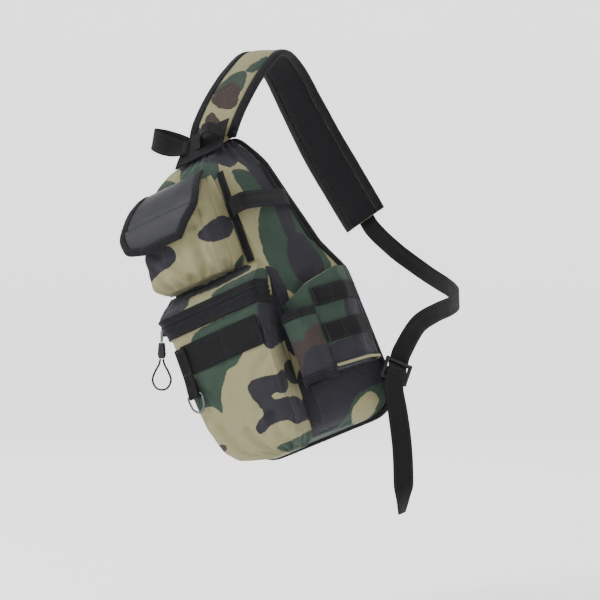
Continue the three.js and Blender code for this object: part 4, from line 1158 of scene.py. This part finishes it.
CORNER_BLOBS = {
    "green": [[(270, 300), (296, 274), (330, 258), (358, 256), (394, 330), (402, 404), (300, 404),
        (280, 350)]],
    "dark_and_shade": [[(316, 358), (346, 338), (382, 334), (394, 366), (380, 386), (344, 390), (322, 380)],
             [(344, 300), (360, 296), (372, 326), (362, 332), (350, 322)]],
}

corner = corner_pocket()
paint(corner, CORNER_BLOBS, 4)
finish_piece(corner, "camouflage", "corner_pocket")


def corner_trim():
    levels, count = 14, 70
    ring = corner_ring(1)[0]
    last = corner_column(CORNER_SIDES, 3) + 4
    length = [i for i in range(last) if ring[i][0] > 86.5]
    plan = spline(np.concatenate([[[86.5, ring[20][1]]], ring[length]]), count)
    ahead = directions(plan)
    out2 = np.stack([ahead[:, 1], -ahead[:, 0]], axis=-1)

    def strip(name, low, high, thick, material, slot, node_name, lift, seed):
        heights = np.linspace(low, high, levels)
        grid = np.zeros((levels, count, 3))
        for k, h in enumerate(heights):
            swell = lift + thick / 2 + 0.2 * noise(np.column_stack([plan, np.full(count, h)]), 16, seed)
            grid[k, :, :2] = plan + out2 * swell[:, None]
            grid[k, :, 2] = h
        piece = slab_piece(name, grid, thick, material)
        finish_piece(piece, slot, node_name)
        return grid

    for row in (0, 1):
        low = 113 + 50 * row
        grid = strip(f"corner_row_{row + 1}", low + 0.3, low + 24.7, 1.5, WEBBING, "webbing",
            f"corner_webbing_{row + 1}", 0.3, 80 + row)
        for k in (1, 24, 45, 64):
            for shift in (-0.9, 0.9):
                at = grid[:, k] + np.append(out2[k], 0) * 0.85 + np.append(ahead[k], 0) * shift
                facing = np.tile(np.append(out2[k], 0), (levels, 1))
                stitch_line(seams, at[1:-1], facing[1:-1], pitch=2.0, length=1.5)
        for edge in (1, 12):
            stitch_line(seams, grid[edge] + np.column_stack([out2, np.zeros(count)]) * 0.85,
                np.column_stack([out2, np.zeros(count)]), pitch=3.2, length=2.2)
    strip("corner_edging", CORNER_BASE + 1.4, CORNER_BASE + 4.4, 1.4, CAMO, "camouflage",
        "corner_pocket_binding", 0.3, 83)


corner_trim()
paint(bpy.data.objects["corner_edging"], {}, 5)


def rod_sleeve():
    seat = CORNER_PLAN[0][1] - GAP
    half = 25.0
    base = np.array([(-half * 0.62, -26.0), (half * 0.62, -26.0), (half, 0.0), (-half, 0.0)]) + [60.0, seat]

    def skin(name, low, high, swell, material, wavy, seed):
        levels = np.linspace(low, high, max(6, int((high - low) / 1.8)))
        corners = base[None].repeat(len(levels), 0).copy()
        ring = outline(corners, [16, 16, 2, 2], [16, 10, 26, 10], arc=10)
        grid = upright(ring, levels)
        out = normals(grid, True)
        backs = grid[..., 1] > seat - 1.0
        share = np.sin(np.pi * (levels - low) / (high - low))[:, None]
        offset = swell - 0.7 + wavy * (0.9 * noise(grid, 26, seed)
            + 0.5 * noise(grid, 12, seed + 1)) - 0.8 * wavy * share
        offset = np.where(backs, -0.05, offset)
        outer = grid + out * offset[..., None]
        inner = outer - out * (1.7 + swell)
        ends = [(outer[-1] + inner[-1]) / 2 + [0, 0, 0.4], (outer[0] + inner[0]) / 2 - [0, 0, 0.4]]
        whole = np.concatenate([outer, ends[0][None], inner[::-1], ends[1][None]])
        return grid_piece(name, whole, material, closed=True, wrap=True), outer, out

    piece, outer, out = skin("sleeve_cloth", 79.2, 154.8, 0.0, CAMO, 1.0, 90)
    finish_piece(piece, "camouflage", "rod_sleeve")
    for name, low, high, node_name in (("sleeve_tape_low", 68.0, 79.8, "sleeve_binding_bottom"),
        ("sleeve_tape_high", 154.2, 166.0, "sleeve_binding_top")):
        tape, ring, face = skin(name, low + 0.3, high - 0.3, 1.4, TAPE, 0.25, 92)
        finish_piece(tape, "binding", node_name)
        row = len(ring) - 2 if low < 100 else 1
        columns = np.arange(0, 10 + 16 + 10 + 10)
        stitch_line(seams, ring[row][columns] + face[row][columns] * 0.1, face[row][columns], pitch=3.0,
            length=2.0)
    return piece


SLEEVE_BLOBS = {
    "green": [[(264, 320), (290, 304), (322, 298), (328, 330), (314, 338), (306, 350), (290, 356),
        (272, 352)]],
    "brown": [[(278, 347), (302, 340), (306, 332), (322, 322), (338, 340), (332, 378), (304, 394),
        (286, 374)]],
    "dark_and_shade": [[(306, 352), (322, 344), (338, 352), (342, 380), (316, 390), (304, 378)]],
}
sleeve = rod_sleeve()
paint(sleeve, SLEEVE_BLOBS, 6)


# Back panel, edge binding and main zip


def body_edge(count):
    """The body's edge seen from the front, counter-clockwise from its bottom left, evenly spaced."""
    rows = BODY_ROWS
    heights = np.linspace(rows[0, 0], rows[-1, 0], 160)
    left, right = from_table(rows, heights, 3.0)[:, :2].T
    loop = np.concatenate([np.stack([right, heights], -1), np.stack([-left, heights], -1)[::-1]])
    gone = np.concatenate([loop, loop[:1]])
    along = lengths_along(gone)
    stops = np.linspace(0, along[-1], count, endpoint=False)
    even = read_at(stops, along, gone)
    for _ in range(3):
        even = (np.roll(even, 1, axis=0) + 2 * even + np.roll(even, -1, axis=0)) / 4
    ahead = unit(np.roll(even, -1, axis=0) - np.roll(even, 1, axis=0))
    return even, np.stack([ahead[:, 1], -ahead[:, 0]], axis=-1)


def at_depth(plan, depth):
    """Places seen from the front, all at one depth."""
    return np.column_stack([plan[:, 0], np.full(len(plan), depth), plan[:, 1]])


def back_panel():
    edge, out = body_edge(240)
    centre = edge.mean(0)
    shares = np.concatenate([[0.0], np.linspace(0.04, 1, 70)])
    rings = []
    for share in shares:
        plan = centre + (edge + out * 1.2 - centre) * share
        a, c = plan[:, 0], plan[:, 1]
        inset = 1 - share
        puff = 6.5 * smooth(0.0, 0.12, inset) - 0.5
        channel = np.zeros(len(plan))
        for middle in (-52, 46):
            channel += 4.2 * bell(a, middle, 4.5) * smooth(0, 0.1, inset)
        for middle in (95, 190, 285):
            channel += 3.6 * bell(c - middle - 0.1 * np.abs(a), 0, 4.5) * smooth(0, 0.1, inset)
        depth = -2.6 - 4.4 + puff - channel + 0.6 * noise(np.column_stack([a, c * 0, c]), 30, 95)
        rings.append(np.column_stack([a, np.minimum(depth, -0.25), c]))
    grid = np.array(rings)
    rim = np.array([at_depth(edge + out * 1.8, depth) for depth in (-5.5, -9.6)])
    front = np.array([at_depth(centre + (edge - centre) * share, -9.65) for share in (0.9, 0.4, 0.02)])
    grid = np.concatenate([grid[1:], rim, front])
    piece = grid_piece("back_padding", grid, SPACER, closed=True, cap=True)
    mesh = piece.data
    at = np.zeros(len(mesh.vertices) * 3)
    mesh.vertices.foreach_get("co", at)
    local = at.reshape(-1, 3) * MM_PER_METRE - BAG_AT
    flat = np.stack([local[:, 0] * COS + local[:, 2] * SIN, -local[:, 0] * SIN + local[:, 2] * COS], axis=-1)
    loops = np.zeros(len(mesh.loops), np.int32)
    mesh.loops.foreach_get("vertex_index", loops)
    mesh.uv_layers["cloth"].data.foreach_set("uv", (flat[loops] / MM_PER_METRE).astype(np.float32).ravel())
    finish_piece(piece, "padded_mesh", "back_panel", fill=0.55)


def edge_binding():
    count = 300
    edge, out = body_edge(count)
    section = [(-1.2, -6.2), (0.4, -5.6), (3.4, -5.2), (4.6, -6.6), (5.0, -9.5), (4.6, -12.6), (3.2, -13.9),
        (0.6, -13.4), (-1.0, -12.6), (-1.0, -11.2), (1.6, -10.4), (1.6, -8.8), (-0.8, -7.6)]
    wave = 0.35 * noise(np.column_stack([edge, edge[:, :1] * 0]), 16, 97)
    rings = []
    for g, b in section:
        plan = edge + out * (g + 0.5 + wave)[:, None] if g > 2 else edge + out * (g + 0.5)
        rings.append(at_depth(plan, b))
    grid = np.array(rings).transpose(1, 0, 2)
    piece = grid_piece("edge_tape", grid, TAPE, closed=True, wrap=True)
    finish_piece(piece, "binding", "edge_piping")
    front = at_depth(edge + out * 1.6, -13.6)
    stitch_line(seams, front, np.tile([0, -1, 0.0], (count, 1)), pitch=3.4, length=2.3)


def side_zip():
    count = 70
    heights = np.linspace(262.5, 384.5, count)
    right = from_table(BODY_ROWS, heights, 6.0)[:, 1]
    middle = -17.9
    side = np.column_stack([right, np.full(count, middle), heights])
    tangent = directions(side)
    out = np.cross(np.array([0, 1.0, 0]), tangent)
    profile = [(-6.5, 0.2), (-5.2, 0.9), (-3.8, 0.4), (-2.0, 0.5), (2.0, 0.5), (3.8, 0.4), (5.2, 0.9),
        (6.5, 0.2)]
    grid = np.array([side + np.array([0, 1.0, 0]) * b + out * lift for b, lift in profile])
    piece = slab_piece("side_zip_tape", grid.transpose(1, 0, 2)[:, ::-1], 0.9, ZIP_TAPE)
    finish_piece(piece, "zip_tape", "main_zip")
    along = lengths_along(side)
    frames = []
    for stop in np.arange(2, along[-1] - 2, 1.6):
        k = min(int(np.searchsorted(along, stop)), count - 1)
        frames.append((read_at(stop, along, side), tangent[k], np.array([0, 1.0, 0]), out[k]))
    zip_teeth("side_zip_teeth", frames, (0.5, 1.8, 0.2), (0.3, 1.3, 1.6))


back_panel()
edge_binding()
side_zip()


# Webbing pieces


def ribbon_grid(stations, facings, width, columns=11, crown=0.0):
    """A flat ribbon's middle surface, from its stations, the way its face looks and its width."""
    stations, facings = np.asarray(stations, float), np.asarray(facings, float)
    ahead = directions(stations)
    face = square_to(ahead, facings)
    side = np.cross(ahead, face)
    s = np.linspace(-0.5, 0.5, columns)
    widths = np.broadcast_to(width, len(stations))
    grid = stations[:, None] + side[:, None] * (s[None, :] * widths[:, None])[..., None]
    bend = crown * (1 - (2 * s) ** 2)
    return grid + face[:, None] * bend[None, :, None], face


def webbing_piece(name, node_name, stations, facings, width, thick, row=False, columns=11, crown=0.0,
                  wave=0.0, seed=0, stitched=True):
    """A run of webbing, stitched along both edges; gives back which way it faces at each station."""
    grid, face = ribbon_grid(stations, facings, width, columns, crown)
    grid = grid + face[:, None] * (wave * noise(grid, 22, seed))[..., None]
    if normals(grid, False)[len(grid) // 2, columns // 2] @ face[len(grid) // 2] < 0:
        grid = grid[:, ::-1]
    finish_piece(slab_piece(name, grid, thick, WEBBING, row=row), "webbing", node_name)
    if stitched:
        store = seams_row if row else seams
        for column in (1, columns - 2):
            stitch_line(store, grid[:, column] + face * thick / 2, face, pitch=3.4, length=2.3)
    return face


def bar_tack(store, at, across, ahead, facing, width, rows=5):
    """A close zigzag of stitches that holds webbing down."""
    across, ahead, facing = (np.asarray(v, float) for v in (across, ahead, facing))
    for r in range(rows):
        start = at - across * width / 2 + ahead * (r - (rows - 1) / 2) * 0.8
        path = np.array([start + across * t for t in np.linspace(0, width, 8)])
        stitch_line(store, path, np.tile(facing, (8, 1)), pitch=2.0, length=1.6, thick=0.28)


def spine():
    count = 60
    up = np.linspace(254, 382, count)
    front = from_table(BODY_ROWS, up, 6.0)[:, 2]
    path = np.column_stack([np.full(count, 20.5), -front - GAP - 1.0, up])
    webbing_piece("spine_tape", "spine_webbing", path, np.tile([0, -1, 0.0], (count, 1)), 10.0, 1.6,
        columns=7, wave=0.3, seed=101)


def rod_strap():
    count = 60
    row = from_table(BODY_ROWS, np.array([315.0]), 1.0)[0]
    right, front, slant_back = row[1], row[2], row[4]
    foot = -front - GAP - 2.0 - 2 * GAP
    plan = spline([(15.5, foot), (23.5, foot - 1), (30.5, foot - 15), (41.5, foot - 20), (53.5, foot - 14),
        (right + 2, -slant_back - 18), (right + 1.5, -slant_back + 4)], count)
    ahead = directions(plan)
    out = np.column_stack([ahead[:, 1], -ahead[:, 0], np.zeros(count)])
    path = np.column_stack([plan[:, 0], plan[:, 1], np.full(count, 327.0)]) + out * 1.0
    webbing_piece("rod_strap_webbing", "rod_strap", path, out, 23.4, 1.6, wave=0.3, seed=102)
    bar_tack(seams, path[3] + out[3] * 0.9, [0, 0, 1], np.append(ahead[3], 0), out[3], 19)


def yoke():
    rows = np.array([(-0.682 * BODY_D, -14, -52, 24), (-0.565 * BODY_D, 2, -44, 29),
        (-0.391 * BODY_D, 17, -37, 30), (-0.3 * BODY_D, 27, -31, 33)])
    path = spline(rows, 34)
    s = np.linspace(0, 1, 40)
    a = path[:, 2:3] * (1 - s) + path[:, 3:4] * s
    grid = np.stack([a, np.broadcast_to(path[:, :1], a.shape),
        np.broadcast_to(path[:, 1:2] + BODY_H, a.shape)], axis=-1)
    n = normals(grid, False)
    if n[16, 20, 1] > 0:
        grid = grid[:, ::-1]
        n = normals(grid, False)
    grid = grid + n * (1.2 + 0.7 * noise(grid, 20, 104) + 0.8 * np.sin(np.pi * s)[None, :])[..., None]
    piece = slab_piece("yoke_cloth", grid, 2.0, DARK_CLOTH)
    finish_piece(piece, "dark_cloth", "yoke_panel")
    for edge in (1, -2):
        stitch_line(seams, grid[:, edge] + n[:, edge], n[:, edge])
    stitch_line(seams, grid[2] + n[2], n[2])
    slope = path[20, :2] - path[10, :2]
    slope = np.array([0, slope[0], slope[1]]) / np.linalg.norm(slope)
    out = np.array([0, -slope[2], slope[1]])
    lift = 2.5 + GAP + 1.0
    base = np.array([0, rows[1, 0], rows[1, 1] + BODY_H]) + slope * 4 + out * lift
    loop_path = spline([base + np.array([x, 0, 0]) + out * (r * 18.0) for x, r in ((-16, 0), (-8, .05),
        (-3, .5), (4, .93), (10, 1), (16, .93), (23, .5), (27, .05), (30, 0))], 60)
    ahead = np.gradient(loop_path, axis=0)
    face = webbing_piece("rod_loop_webbing", "rod_loop", loop_path, np.cross(slope, ahead), 22.4, 1.6,
        wave=0.25, seed=105)
    for k in (4, 55):
        bar_tack(seams, loop_path[k] + face[k] * 0.9, slope, [1, 0, 0], face[k], 18)


def grab_handle():
    rows = np.array([(-30, -49.9, 441.9, 0, -.71, .7), (-42, -53, 446, 0, -.78, .62),
        (-58, -58, 458, .2, -.95, .2), (-70, -55, 471, -.35, -.8, .35), (-75, -45, 476, -.85, 0, .5),
        (-68, -34, 472, -.5, .85, .2), (-54, -31, 461, 0, 1, -.1), (-41, -34, 450, 0, .9, -.4)])
    path = spline(rows, 70)
    face = webbing_piece("handle_webbing", "grab_handle", path[:, :3], path[:, 3:], 27.4, 1.7, wave=0.5,
        seed=106)
    across = np.cross(face[3], path[4, :3] - path[2, :3])
    bar_tack(seams, path[3, :3] + face[3] * 0.95, across / np.linalg.norm(across),
        (path[4, :3] - path[2, :3]) / 3, face[3], 22)


def corner_loop():
    count = 40
    row = from_table(BODY_ROWS, np.array([BODY_H * 0.9]), 1.0)[0]
    middle = np.array([-row[0] - GAP - 2 - 2, -row[2] * 0.5, BODY_H * 0.9]) + [-8 * 0.6, 0, 2]
    turn = np.linspace(0, 2 * math.pi, count, endpoint=False)
    out = np.column_stack([-np.cos(turn) * 0.9, np.zeros(count), np.sin(turn)])
    path = middle + out * 8
    rings = np.array([path + out * x + np.array([0, y, 0]) for x, y in ((-0.8, -3.8), (0.8, -3.8), (1.0, 0),
        (0.8, 3.8), (-0.8, 3.8), (-1.0, 0))]).transpose(1, 0, 2)
    piece = grid_piece("corner_loop_tape", rings[:, ::-1], WEBBING, closed=True, wrap=True)
    finish_piece(piece, "webbing", "corner_loop")


def ring_and_strap():
    count = 110
    mid = BAND[0] + 15 / 2 - 8
    top, fold = BAND[2] + 40 - 3, 110
    back = -BODY_D - LOWER_PROUD - 2 - 3 * GAP - 0.75
    r = 1.5 + 0.75 + 3 * GAP
    rows = [(0, top), (0, 138), (0, fold + 2), (0.3 * r, fold - 0.7 * r), (r, fold - r),
        (1.7 * r, fold - 0.7 * r), (2 * r, fold), (1.6 * r, fold + 8), (1.9, 138), (1.9, top)]
    path = spline([(mid, back - o, u) for o, u in rows], count)
    ahead = np.gradient(path, axis=0)
    face = np.column_stack([np.zeros(count), -ahead[:, 2], ahead[:, 1]])
    webbing_piece("ring_webbing", "ring_strap", path, face, 14.4, 1.2, columns=9, wave=0.12, seed=107,
        stitched=False)
    for height in (172.0, 140.0):
        bar_tack(seams, np.array([mid, back - 2.75, height]), [1, 0, 0], [0, 0, 1], [0, -1, 0], 11)
    bar = np.array([mid, back - r, fold])
    half, drop = 10.0, 23.0
    shape = [(-half, 0), (-half * .5, 0), (0, 0), (half * .5, 0), (half, 0), (half * 1.02, -drop * .35),
        (half * .8, -drop * .75), (0, -drop), (-half * .8, -drop * .75), (-half * 1.02, -drop * .35)]
    path = spline([bar + np.array([x, 0, z]) for x, z in shape], 90, closed=True)
    piece = tube_piece("ring_wire", path, 1.5, METAL, sides=14, closed=True)
    finish_piece(piece, "metal", "hanging_ring")


spine()
rod_strap()
yoke()
grab_handle()
corner_loop()
ring_and_strap()


# Zip slider, grip and cord, which hang straight down


def squarish(turn, power):
    """A circle's two coordinates at an angle, bulged out towards a square."""
    return [np.sign(part) * np.abs(part) ** power for part in (np.cos(turn), np.sin(turn))]


def hang_at(points):
    """Millimetres of the hanging pull, upright in the row frame, to the row frame."""
    row = from_table(LOWER_ROWS, np.array([207.0]), 1.0)[0]
    anchor = to_row(np.array([-row[0] - GAP - 2, -BODY_D - LOWER_PROUD + 22, 207.0]))
    return anchor + np.asarray(points, float)


def zip_pull():
    def bar(name, sections, material, slot, *nodes):
        count = 20
        across, along = squarish(np.linspace(0, 2 * math.pi, count, endpoint=False), 0.45)
        rings = [np.column_stack([
            (x0 + x1) / 2 + (x1 - x0) / 2 * across, (y0 + y1) / 2 + (y1 - y0) / 2 * along,
            np.full(count, float(z))]) for x0, x1, y0, y1, z in sections]
        piece = grid_piece(name, hang_at(np.array(rings)), material, closed=True, cap=True, row=True)
        return finish_piece(piece, slot, *nodes)

    bar("slider_body", [(-5.4, -2.0, -4.6, 4.6, -4.8), (-6.0, -1.6, -5.6, 5.6, -4.2),
        (-6.0, -1.6, -5.9, 5.9, 0), (-6.0, -1.6, -5.6, 5.6, 4.2),
        (-5.4, -2.0, -4.4, 4.4, 4.8)], METAL, "metal",
                            "zip_slider")
    bar("slider_tab", [(-8.8, -6.2, -0.9, 0.9, -12), (-8.9, -5.2, -1, 1, -9), (-8.9, -5.2, -1, 1, 0),
        (-8.2, -5.6, -1, 1, 3.8)], METAL, "metal")
    grip = []
    for x, y, z in ((3.4, 2.0, -12.5), (4.0, 2.9, -13.4), (4.6, 3.0, -18), (4.4, 2.6, -19),
        (5.1, 3.0, -20.2), (4.8, 2.6, -21.6), (5.4, 3.0, -23), (5.0, 2.6, -24.4), (5.6, 3.0, -26),
        (5.4, 3.0, -29.5), (4.4, 2.9, -32), (3.4, 2.4, -33.6)):
        grip.append((-7 - x, -7 + x, -y, y, z))
    bar("pull_grip_body", grip, PLASTIC, "plastic", "pull_grip")
    shape = [(-2.2, 0), (-4, -7), (-10, -17), (-14, -28), (-9, -38), (0, -41), (9, -38), (14, -28),
        (10, -17), (4, -7), (2.2, 0)]
    route = spline([(-7 + x, 0, -34 - GAP + z) for x, z in shape], 40)
    points = hang_at(route) / MM_PER_METRE
    curve = bpy.data.curves.new("pull_loop_cord", "CURVE")
    curve.dimensions = "3D"
    curve.bevel_depth = 0.0014
    curve.bevel_resolution = 4
    curve.use_fill_caps = True
    line = curve.splines.new("POLY")
    line.points.add(len(points) - 1)
    for k, p in enumerate(points):
        line.points[k].co = (*p, 1)
    curve.materials.append(CORD)
    cord = bpy.data.objects.new("pull_loop_cord", curve)
    bpy.context.scene.collection.objects.link(cord)
    finish_piece(cord, "cord", "pull_cord")


zip_pull()


# Shoulder strap, adjuster webbing and ladder lock, in the row frame

ROOT = np.array([-18.0, -117.0, -134.5])
STRAP_ROWS = np.array([(-4.9, 0, 12.1, 0, -1, 0), (-2, 11, 39, 0, -.95, .3), (5, 33, 74, 0, -.85, .5),
    (12, 71, 113, 0, -.5, .85), (18, 117, 139.5, 0, 0, 1), (23, 165, 120, 0, .55, .83),
    (32, 209, 72, 0, .9, .4), (50, 241, 16, 0, 1, .1), (80, 257, -42, .05, 1, 0),
    (110, 262, -92, .1, 1, 0)]) + np.array([*ROOT, 0, 0, 0])


def strap():
    count = 170
    rows = np.concatenate([[[*ROOT, 0, -1, 0]], STRAP_ROWS])
    path = spline(rows, count)
    at = path[:, :3]
    ahead = directions(at)
    face = square_to(ahead, path[:, 3:])
    side = np.cross(ahead, face)
    half = 29.0
    across = np.linspace(-1, 1, 34)
    along = np.linspace(0, 1, count)
    ends = smooth(0, 0.03, along) * smooth(1, 0.97, along)
    outer, inner = [], []
    for s in across:
        puff = (1 - abs(s) ** 5) * 4.6
        grain = at + side * s * half
        dent = 0.7 * noise(grain, 30, 111) + 0.35 * noise(grain, 12, 112)
        folds = 0.7 * bell(abs(s), 0.84, 0.05)
        outer.append(grain + face * ((0.3 + puff + dent - folds) * (0.55 + 0.45 * ends))[:, None])
        inner.append(grain - face * ((0.3 + puff * 0.95 + 0.4 * dent) * (0.55 + 0.45 * ends))[:, None])
    outer, inner = np.array(outer), np.array(inner)[::-1]
    section = np.concatenate([outer, inner]).transpose(1, 0, 2)
    if (normals(section, True)[80, 16] @ face[80]) < 0:
        section = section[:, ::-1]
    piece = grid_piece("strap_pad", section, CAMO, closed=True, cap=True, row=True)
    paint(piece, STRAP_BLOBS, 7, facing_from=0.2)
    finish_piece(piece, "camouflage", "shoulder_strap", fill=0.5)
    lining = at[:, None] + side[:, None] * (np.linspace(-0.8, 0.8, 24) * half)[None, :, None]
    under = 0.3 + (1 - np.abs(np.linspace(-0.8, 0.8, 24)) ** 5)[None, :] * 4.37 + 0.28 * noise(lining, 30,
        111)
    lining = lining - face[:, None] * (under * (0.55 + 0.45 * ends)[:, None] + 0.45)[..., None]
    finish_piece(slab_piece("strap_lining", lining, 0.8, SPACER, row=True), "padded_mesh")
    for name, sign, node_name in (("strap_tape_left", -1, "strap_binding_left"),
        ("strap_tape_right", 1, "strap_binding_right")):
        profile = [(-5.0, 3.5), (-4.6, 4.5), (-2, 4.6), (2, 4.3), (5, 3.3), (6.6, 1.2), (6.8, -0.8),
            (5.2, -3.0), (2, -4.2), (-2, -4.5), (-4.6, -4.4), (-5.0, -3.5), (0, -2.4), (0, 2.4)]
        ripple = 0.25 * noise(at, 12, 115)
        rings = np.array([at + side * sign * (half + x + (ripple[:, None] if x > 2 else 0))
            + face * (y * (0.75 + 0.25 * ends))[:, None]
                          for x, y in profile]).transpose(1, 0, 2)
        if sign > 0:
            rings = rings[:, ::-1]
        tape = grid_piece(name, rings[:, ::-1], TAPE, closed=True, cap=True, row=True)
        finish_piece(tape, "binding", node_name)
        stitch_line(seams_row, at + side * sign * (half - 3.2) + face * 4.4, face, pitch=3.4, length=2.3)


STRAP_BLOBS = {
    "brown": [
        [(211, 99), (218, 90), (230, 83), (240, 86), (236, 106), (221, 109), (214, 104)],
        [(205, 120), (209, 114.5), (213, 113), (217, 117), (222, 124), (222, 134), (206, 136)],
        [(189, 138), (192, 124), (196, 110), (199, 112), (198, 126), (206, 134), (200, 140)],
    ],
    "green": [[(213, 94), (225, 80), (240, 71), (247, 75), (241, 92), (229, 92)],
              [(246, 70), (256, 62), (266, 56), (268, 62), (254, 72)]],
    "dark_and_shade": [],
}

LOCK_AT = np.array([247.0, -113.0, -437.0])
LOCK_UP = np.array([0.11, 0.517, 0.849]) / np.linalg.norm([0.11, 0.517, 0.849])
LOCK_OUT = np.array([0.55, -0.83, 0.0])
LOCK_OUT = LOCK_OUT - LOCK_UP * (LOCK_OUT @ LOCK_UP)
LOCK_OUT /= np.linalg.norm(LOCK_OUT)
LOCK_SIDE = np.cross(LOCK_UP, LOCK_OUT)


def at_lock(side, out, up):
    return LOCK_AT + LOCK_SIDE * side + LOCK_OUT * out + LOCK_UP * up


def adjuster():
    count = 330
    end = STRAP_ROWS[-1, :3]
    lift = 5 + GAP + 1 + 0.5
    points = [(end + [-22, lift - 3, 37], (.07, 1, 0)), (end + [-6, lift - .5, 10], (.1, 1, 0)),
        (end + [10, lift - 1, -14], (.1, 1, 0)), ((140, 145, -272), (.2, 1, 0)),
        ((192, 130, -304), (.45, .9, 0)), ((240, 98, -326), (.75, .65, 0)), ((272, 52, -340), (.95, .3, 0)),
        ((281, 5, -350), (1, -.1, 0)), ((273, -35, -360), (.9, -.45, 0)), ((259, -66, -376), (.8, -.6, .1))]
    for out, up in ((-4.2, 34), (-4.2, 18), (-3.8, 11.5), (0, 6.5), (4, 1.5), (5, -4), (7, -12)):
        points.append((at_lock(0, out, up), LOCK_OUT))
    start = at_lock(0, 8, -20)
    for x, y, down, turn in ((.5, 1, .06, 18), (5, 4, .25, 8), (9, 8, .5, 4), (10, 10, .74, 0),
        (9, 11, .88, 42), (7, 12, 1, 66)):
        t = math.radians(turn - 65)
        points.append((start + [x, y, -down * 172], (math.cos(t), math.sin(t), 0)))
    rows = np.array([[*p, *f] for p, f in points])
    path = spline(rows, count)
    along = np.linspace(0, 1, count)
    width = 25.4 - 1.2 * smooth(0.95, 1.0, along)
    face = webbing_piece("adjuster_strap", "adjuster_webbing", path[:, :3], path[:, 3:], width, 1.6,
        row=True, columns=13, crown=0.3, wave=0.6, seed=120)
    for k in (5, 20):
        ahead = path[k + 1, :3] - path[k - 1, :3]
        ahead /= np.linalg.norm(ahead)
        across = np.cross(ahead, face[k])
        bar_tack(seams_row, path[k, :3] + face[k] * 0.9, across, ahead, face[k], 21)
    last = path[-1, :3]
    ahead = path[-1, :3] - path[-4, :3]
    ahead /= np.linalg.norm(ahead)
    bar_tack(seams_row, last - ahead * 7 + face[-1] * 0.9, np.cross(ahead, face[-1]), ahead, face[-1], 20,
        rows=3)


def ladder_lock():
    """A moulded frame with two slots and a ribbed middle bar, from rounded bars."""
    half = 19.0
    bars = []

    def rounded_bar(a, b, wide, thick):
        a, b = np.array(a, float), np.array(b, float)
        ahead = (b - a) / np.linalg.norm(b - a)
        across = np.array([-ahead[1], ahead[0]])
        rings = []
        for t, share in ((0, 0.7), (0.04, 1), (0.96, 1), (1, 0.7)):
            centre = a + (b - a) * t
            ring = []
            for k in range(16):
                x, y = squarish(2 * math.pi * k / 16, 0.5)
                flat = centre + across * x * wide / 2 * share
                ring.append(at_lock(flat[0], y * thick / 2 * share, flat[1]))
            rings.append(ring)
        bars.append(np.array(rings))

    for side in (-half + 2.5, half - 2.5):
        rounded_bar((side, -15), (side, 16), 5, 4)
    for up in (-12.5, 13.5):
        rounded_bar((-half, up), (half, up), 5, 4)
    rounded_bar((-half + 2, -0.5), (half - 2, -0.5), 5, 3.8)
    for k in range(-5, 6):
        rounded_bar((k * 2.4, -2.6), (k * 2.4, 1.6), 1.0, 4.6)
    points, faces, start = [], [], 0
    for rings in bars:
        m, n = rings.shape[:2]
        points.append(rings.reshape(-1, 3))
        for i in range(m - 1):
            for j in range(n):
                faces.append((start + i * n + j, start + i * n + (j + 1) % n, start + (i + 1) * n
                    + (j + 1) % n, start + (i + 1) * n + j))
        faces.append(tuple(start + j for j in range(n))[::-1])
        faces.append(tuple(start + (m - 1) * n + j for j in range(n)))
        start += m * n
    piece = make_piece("lock_frame", np.concatenate(points), faces, PLASTIC)
    finish_piece(piece, "plastic", "ladder_lock")


def wing():
    def on_seam(up):
        right = from_table(BODY_ROWS, np.array([up]), 1.0)[0, 1]
        return to_row(np.array([right + 2 + 2 * GAP, -PANEL - 3 - 2, up]))

    high, low = on_seam(54.0), on_seam(30.0)
    half = 13.0
    behind = -2 - 1 - GAP
    rungs = [(behind - 1, -17), (behind - 0.4, -10), (0, -6.5)]
    lines = [(high, low)] + [(at_lock(-half, o, u), at_lock(half, o, u)) for o, u in rungs]
    path = spline(np.array([[*a, *b] for a, b in lines]), 30)
    s = np.linspace(0, 1, 14)
    grid = path[:, None, :3] * (1 - s)[None, :, None] + path[:, None, 3:] * s[None, :, None]
    grid = grid + 0.4 * noise(grid, 12, 125)[..., None] * LOCK_OUT
    piece = slab_piece("wing_webbing", grid, 1.8, WEBBING, row=True)
    finish_piece(piece, "webbing", "lock_wing")


strap()
adjuster()
ladder_lock()
wing()


# All stitches, in two meshes

finish_piece(stitches_piece("stitching_bag", seams, THREAD), "binding")
finish_piece(stitches_piece("stitching_strap", seams_row, THREAD, row=True), "binding")
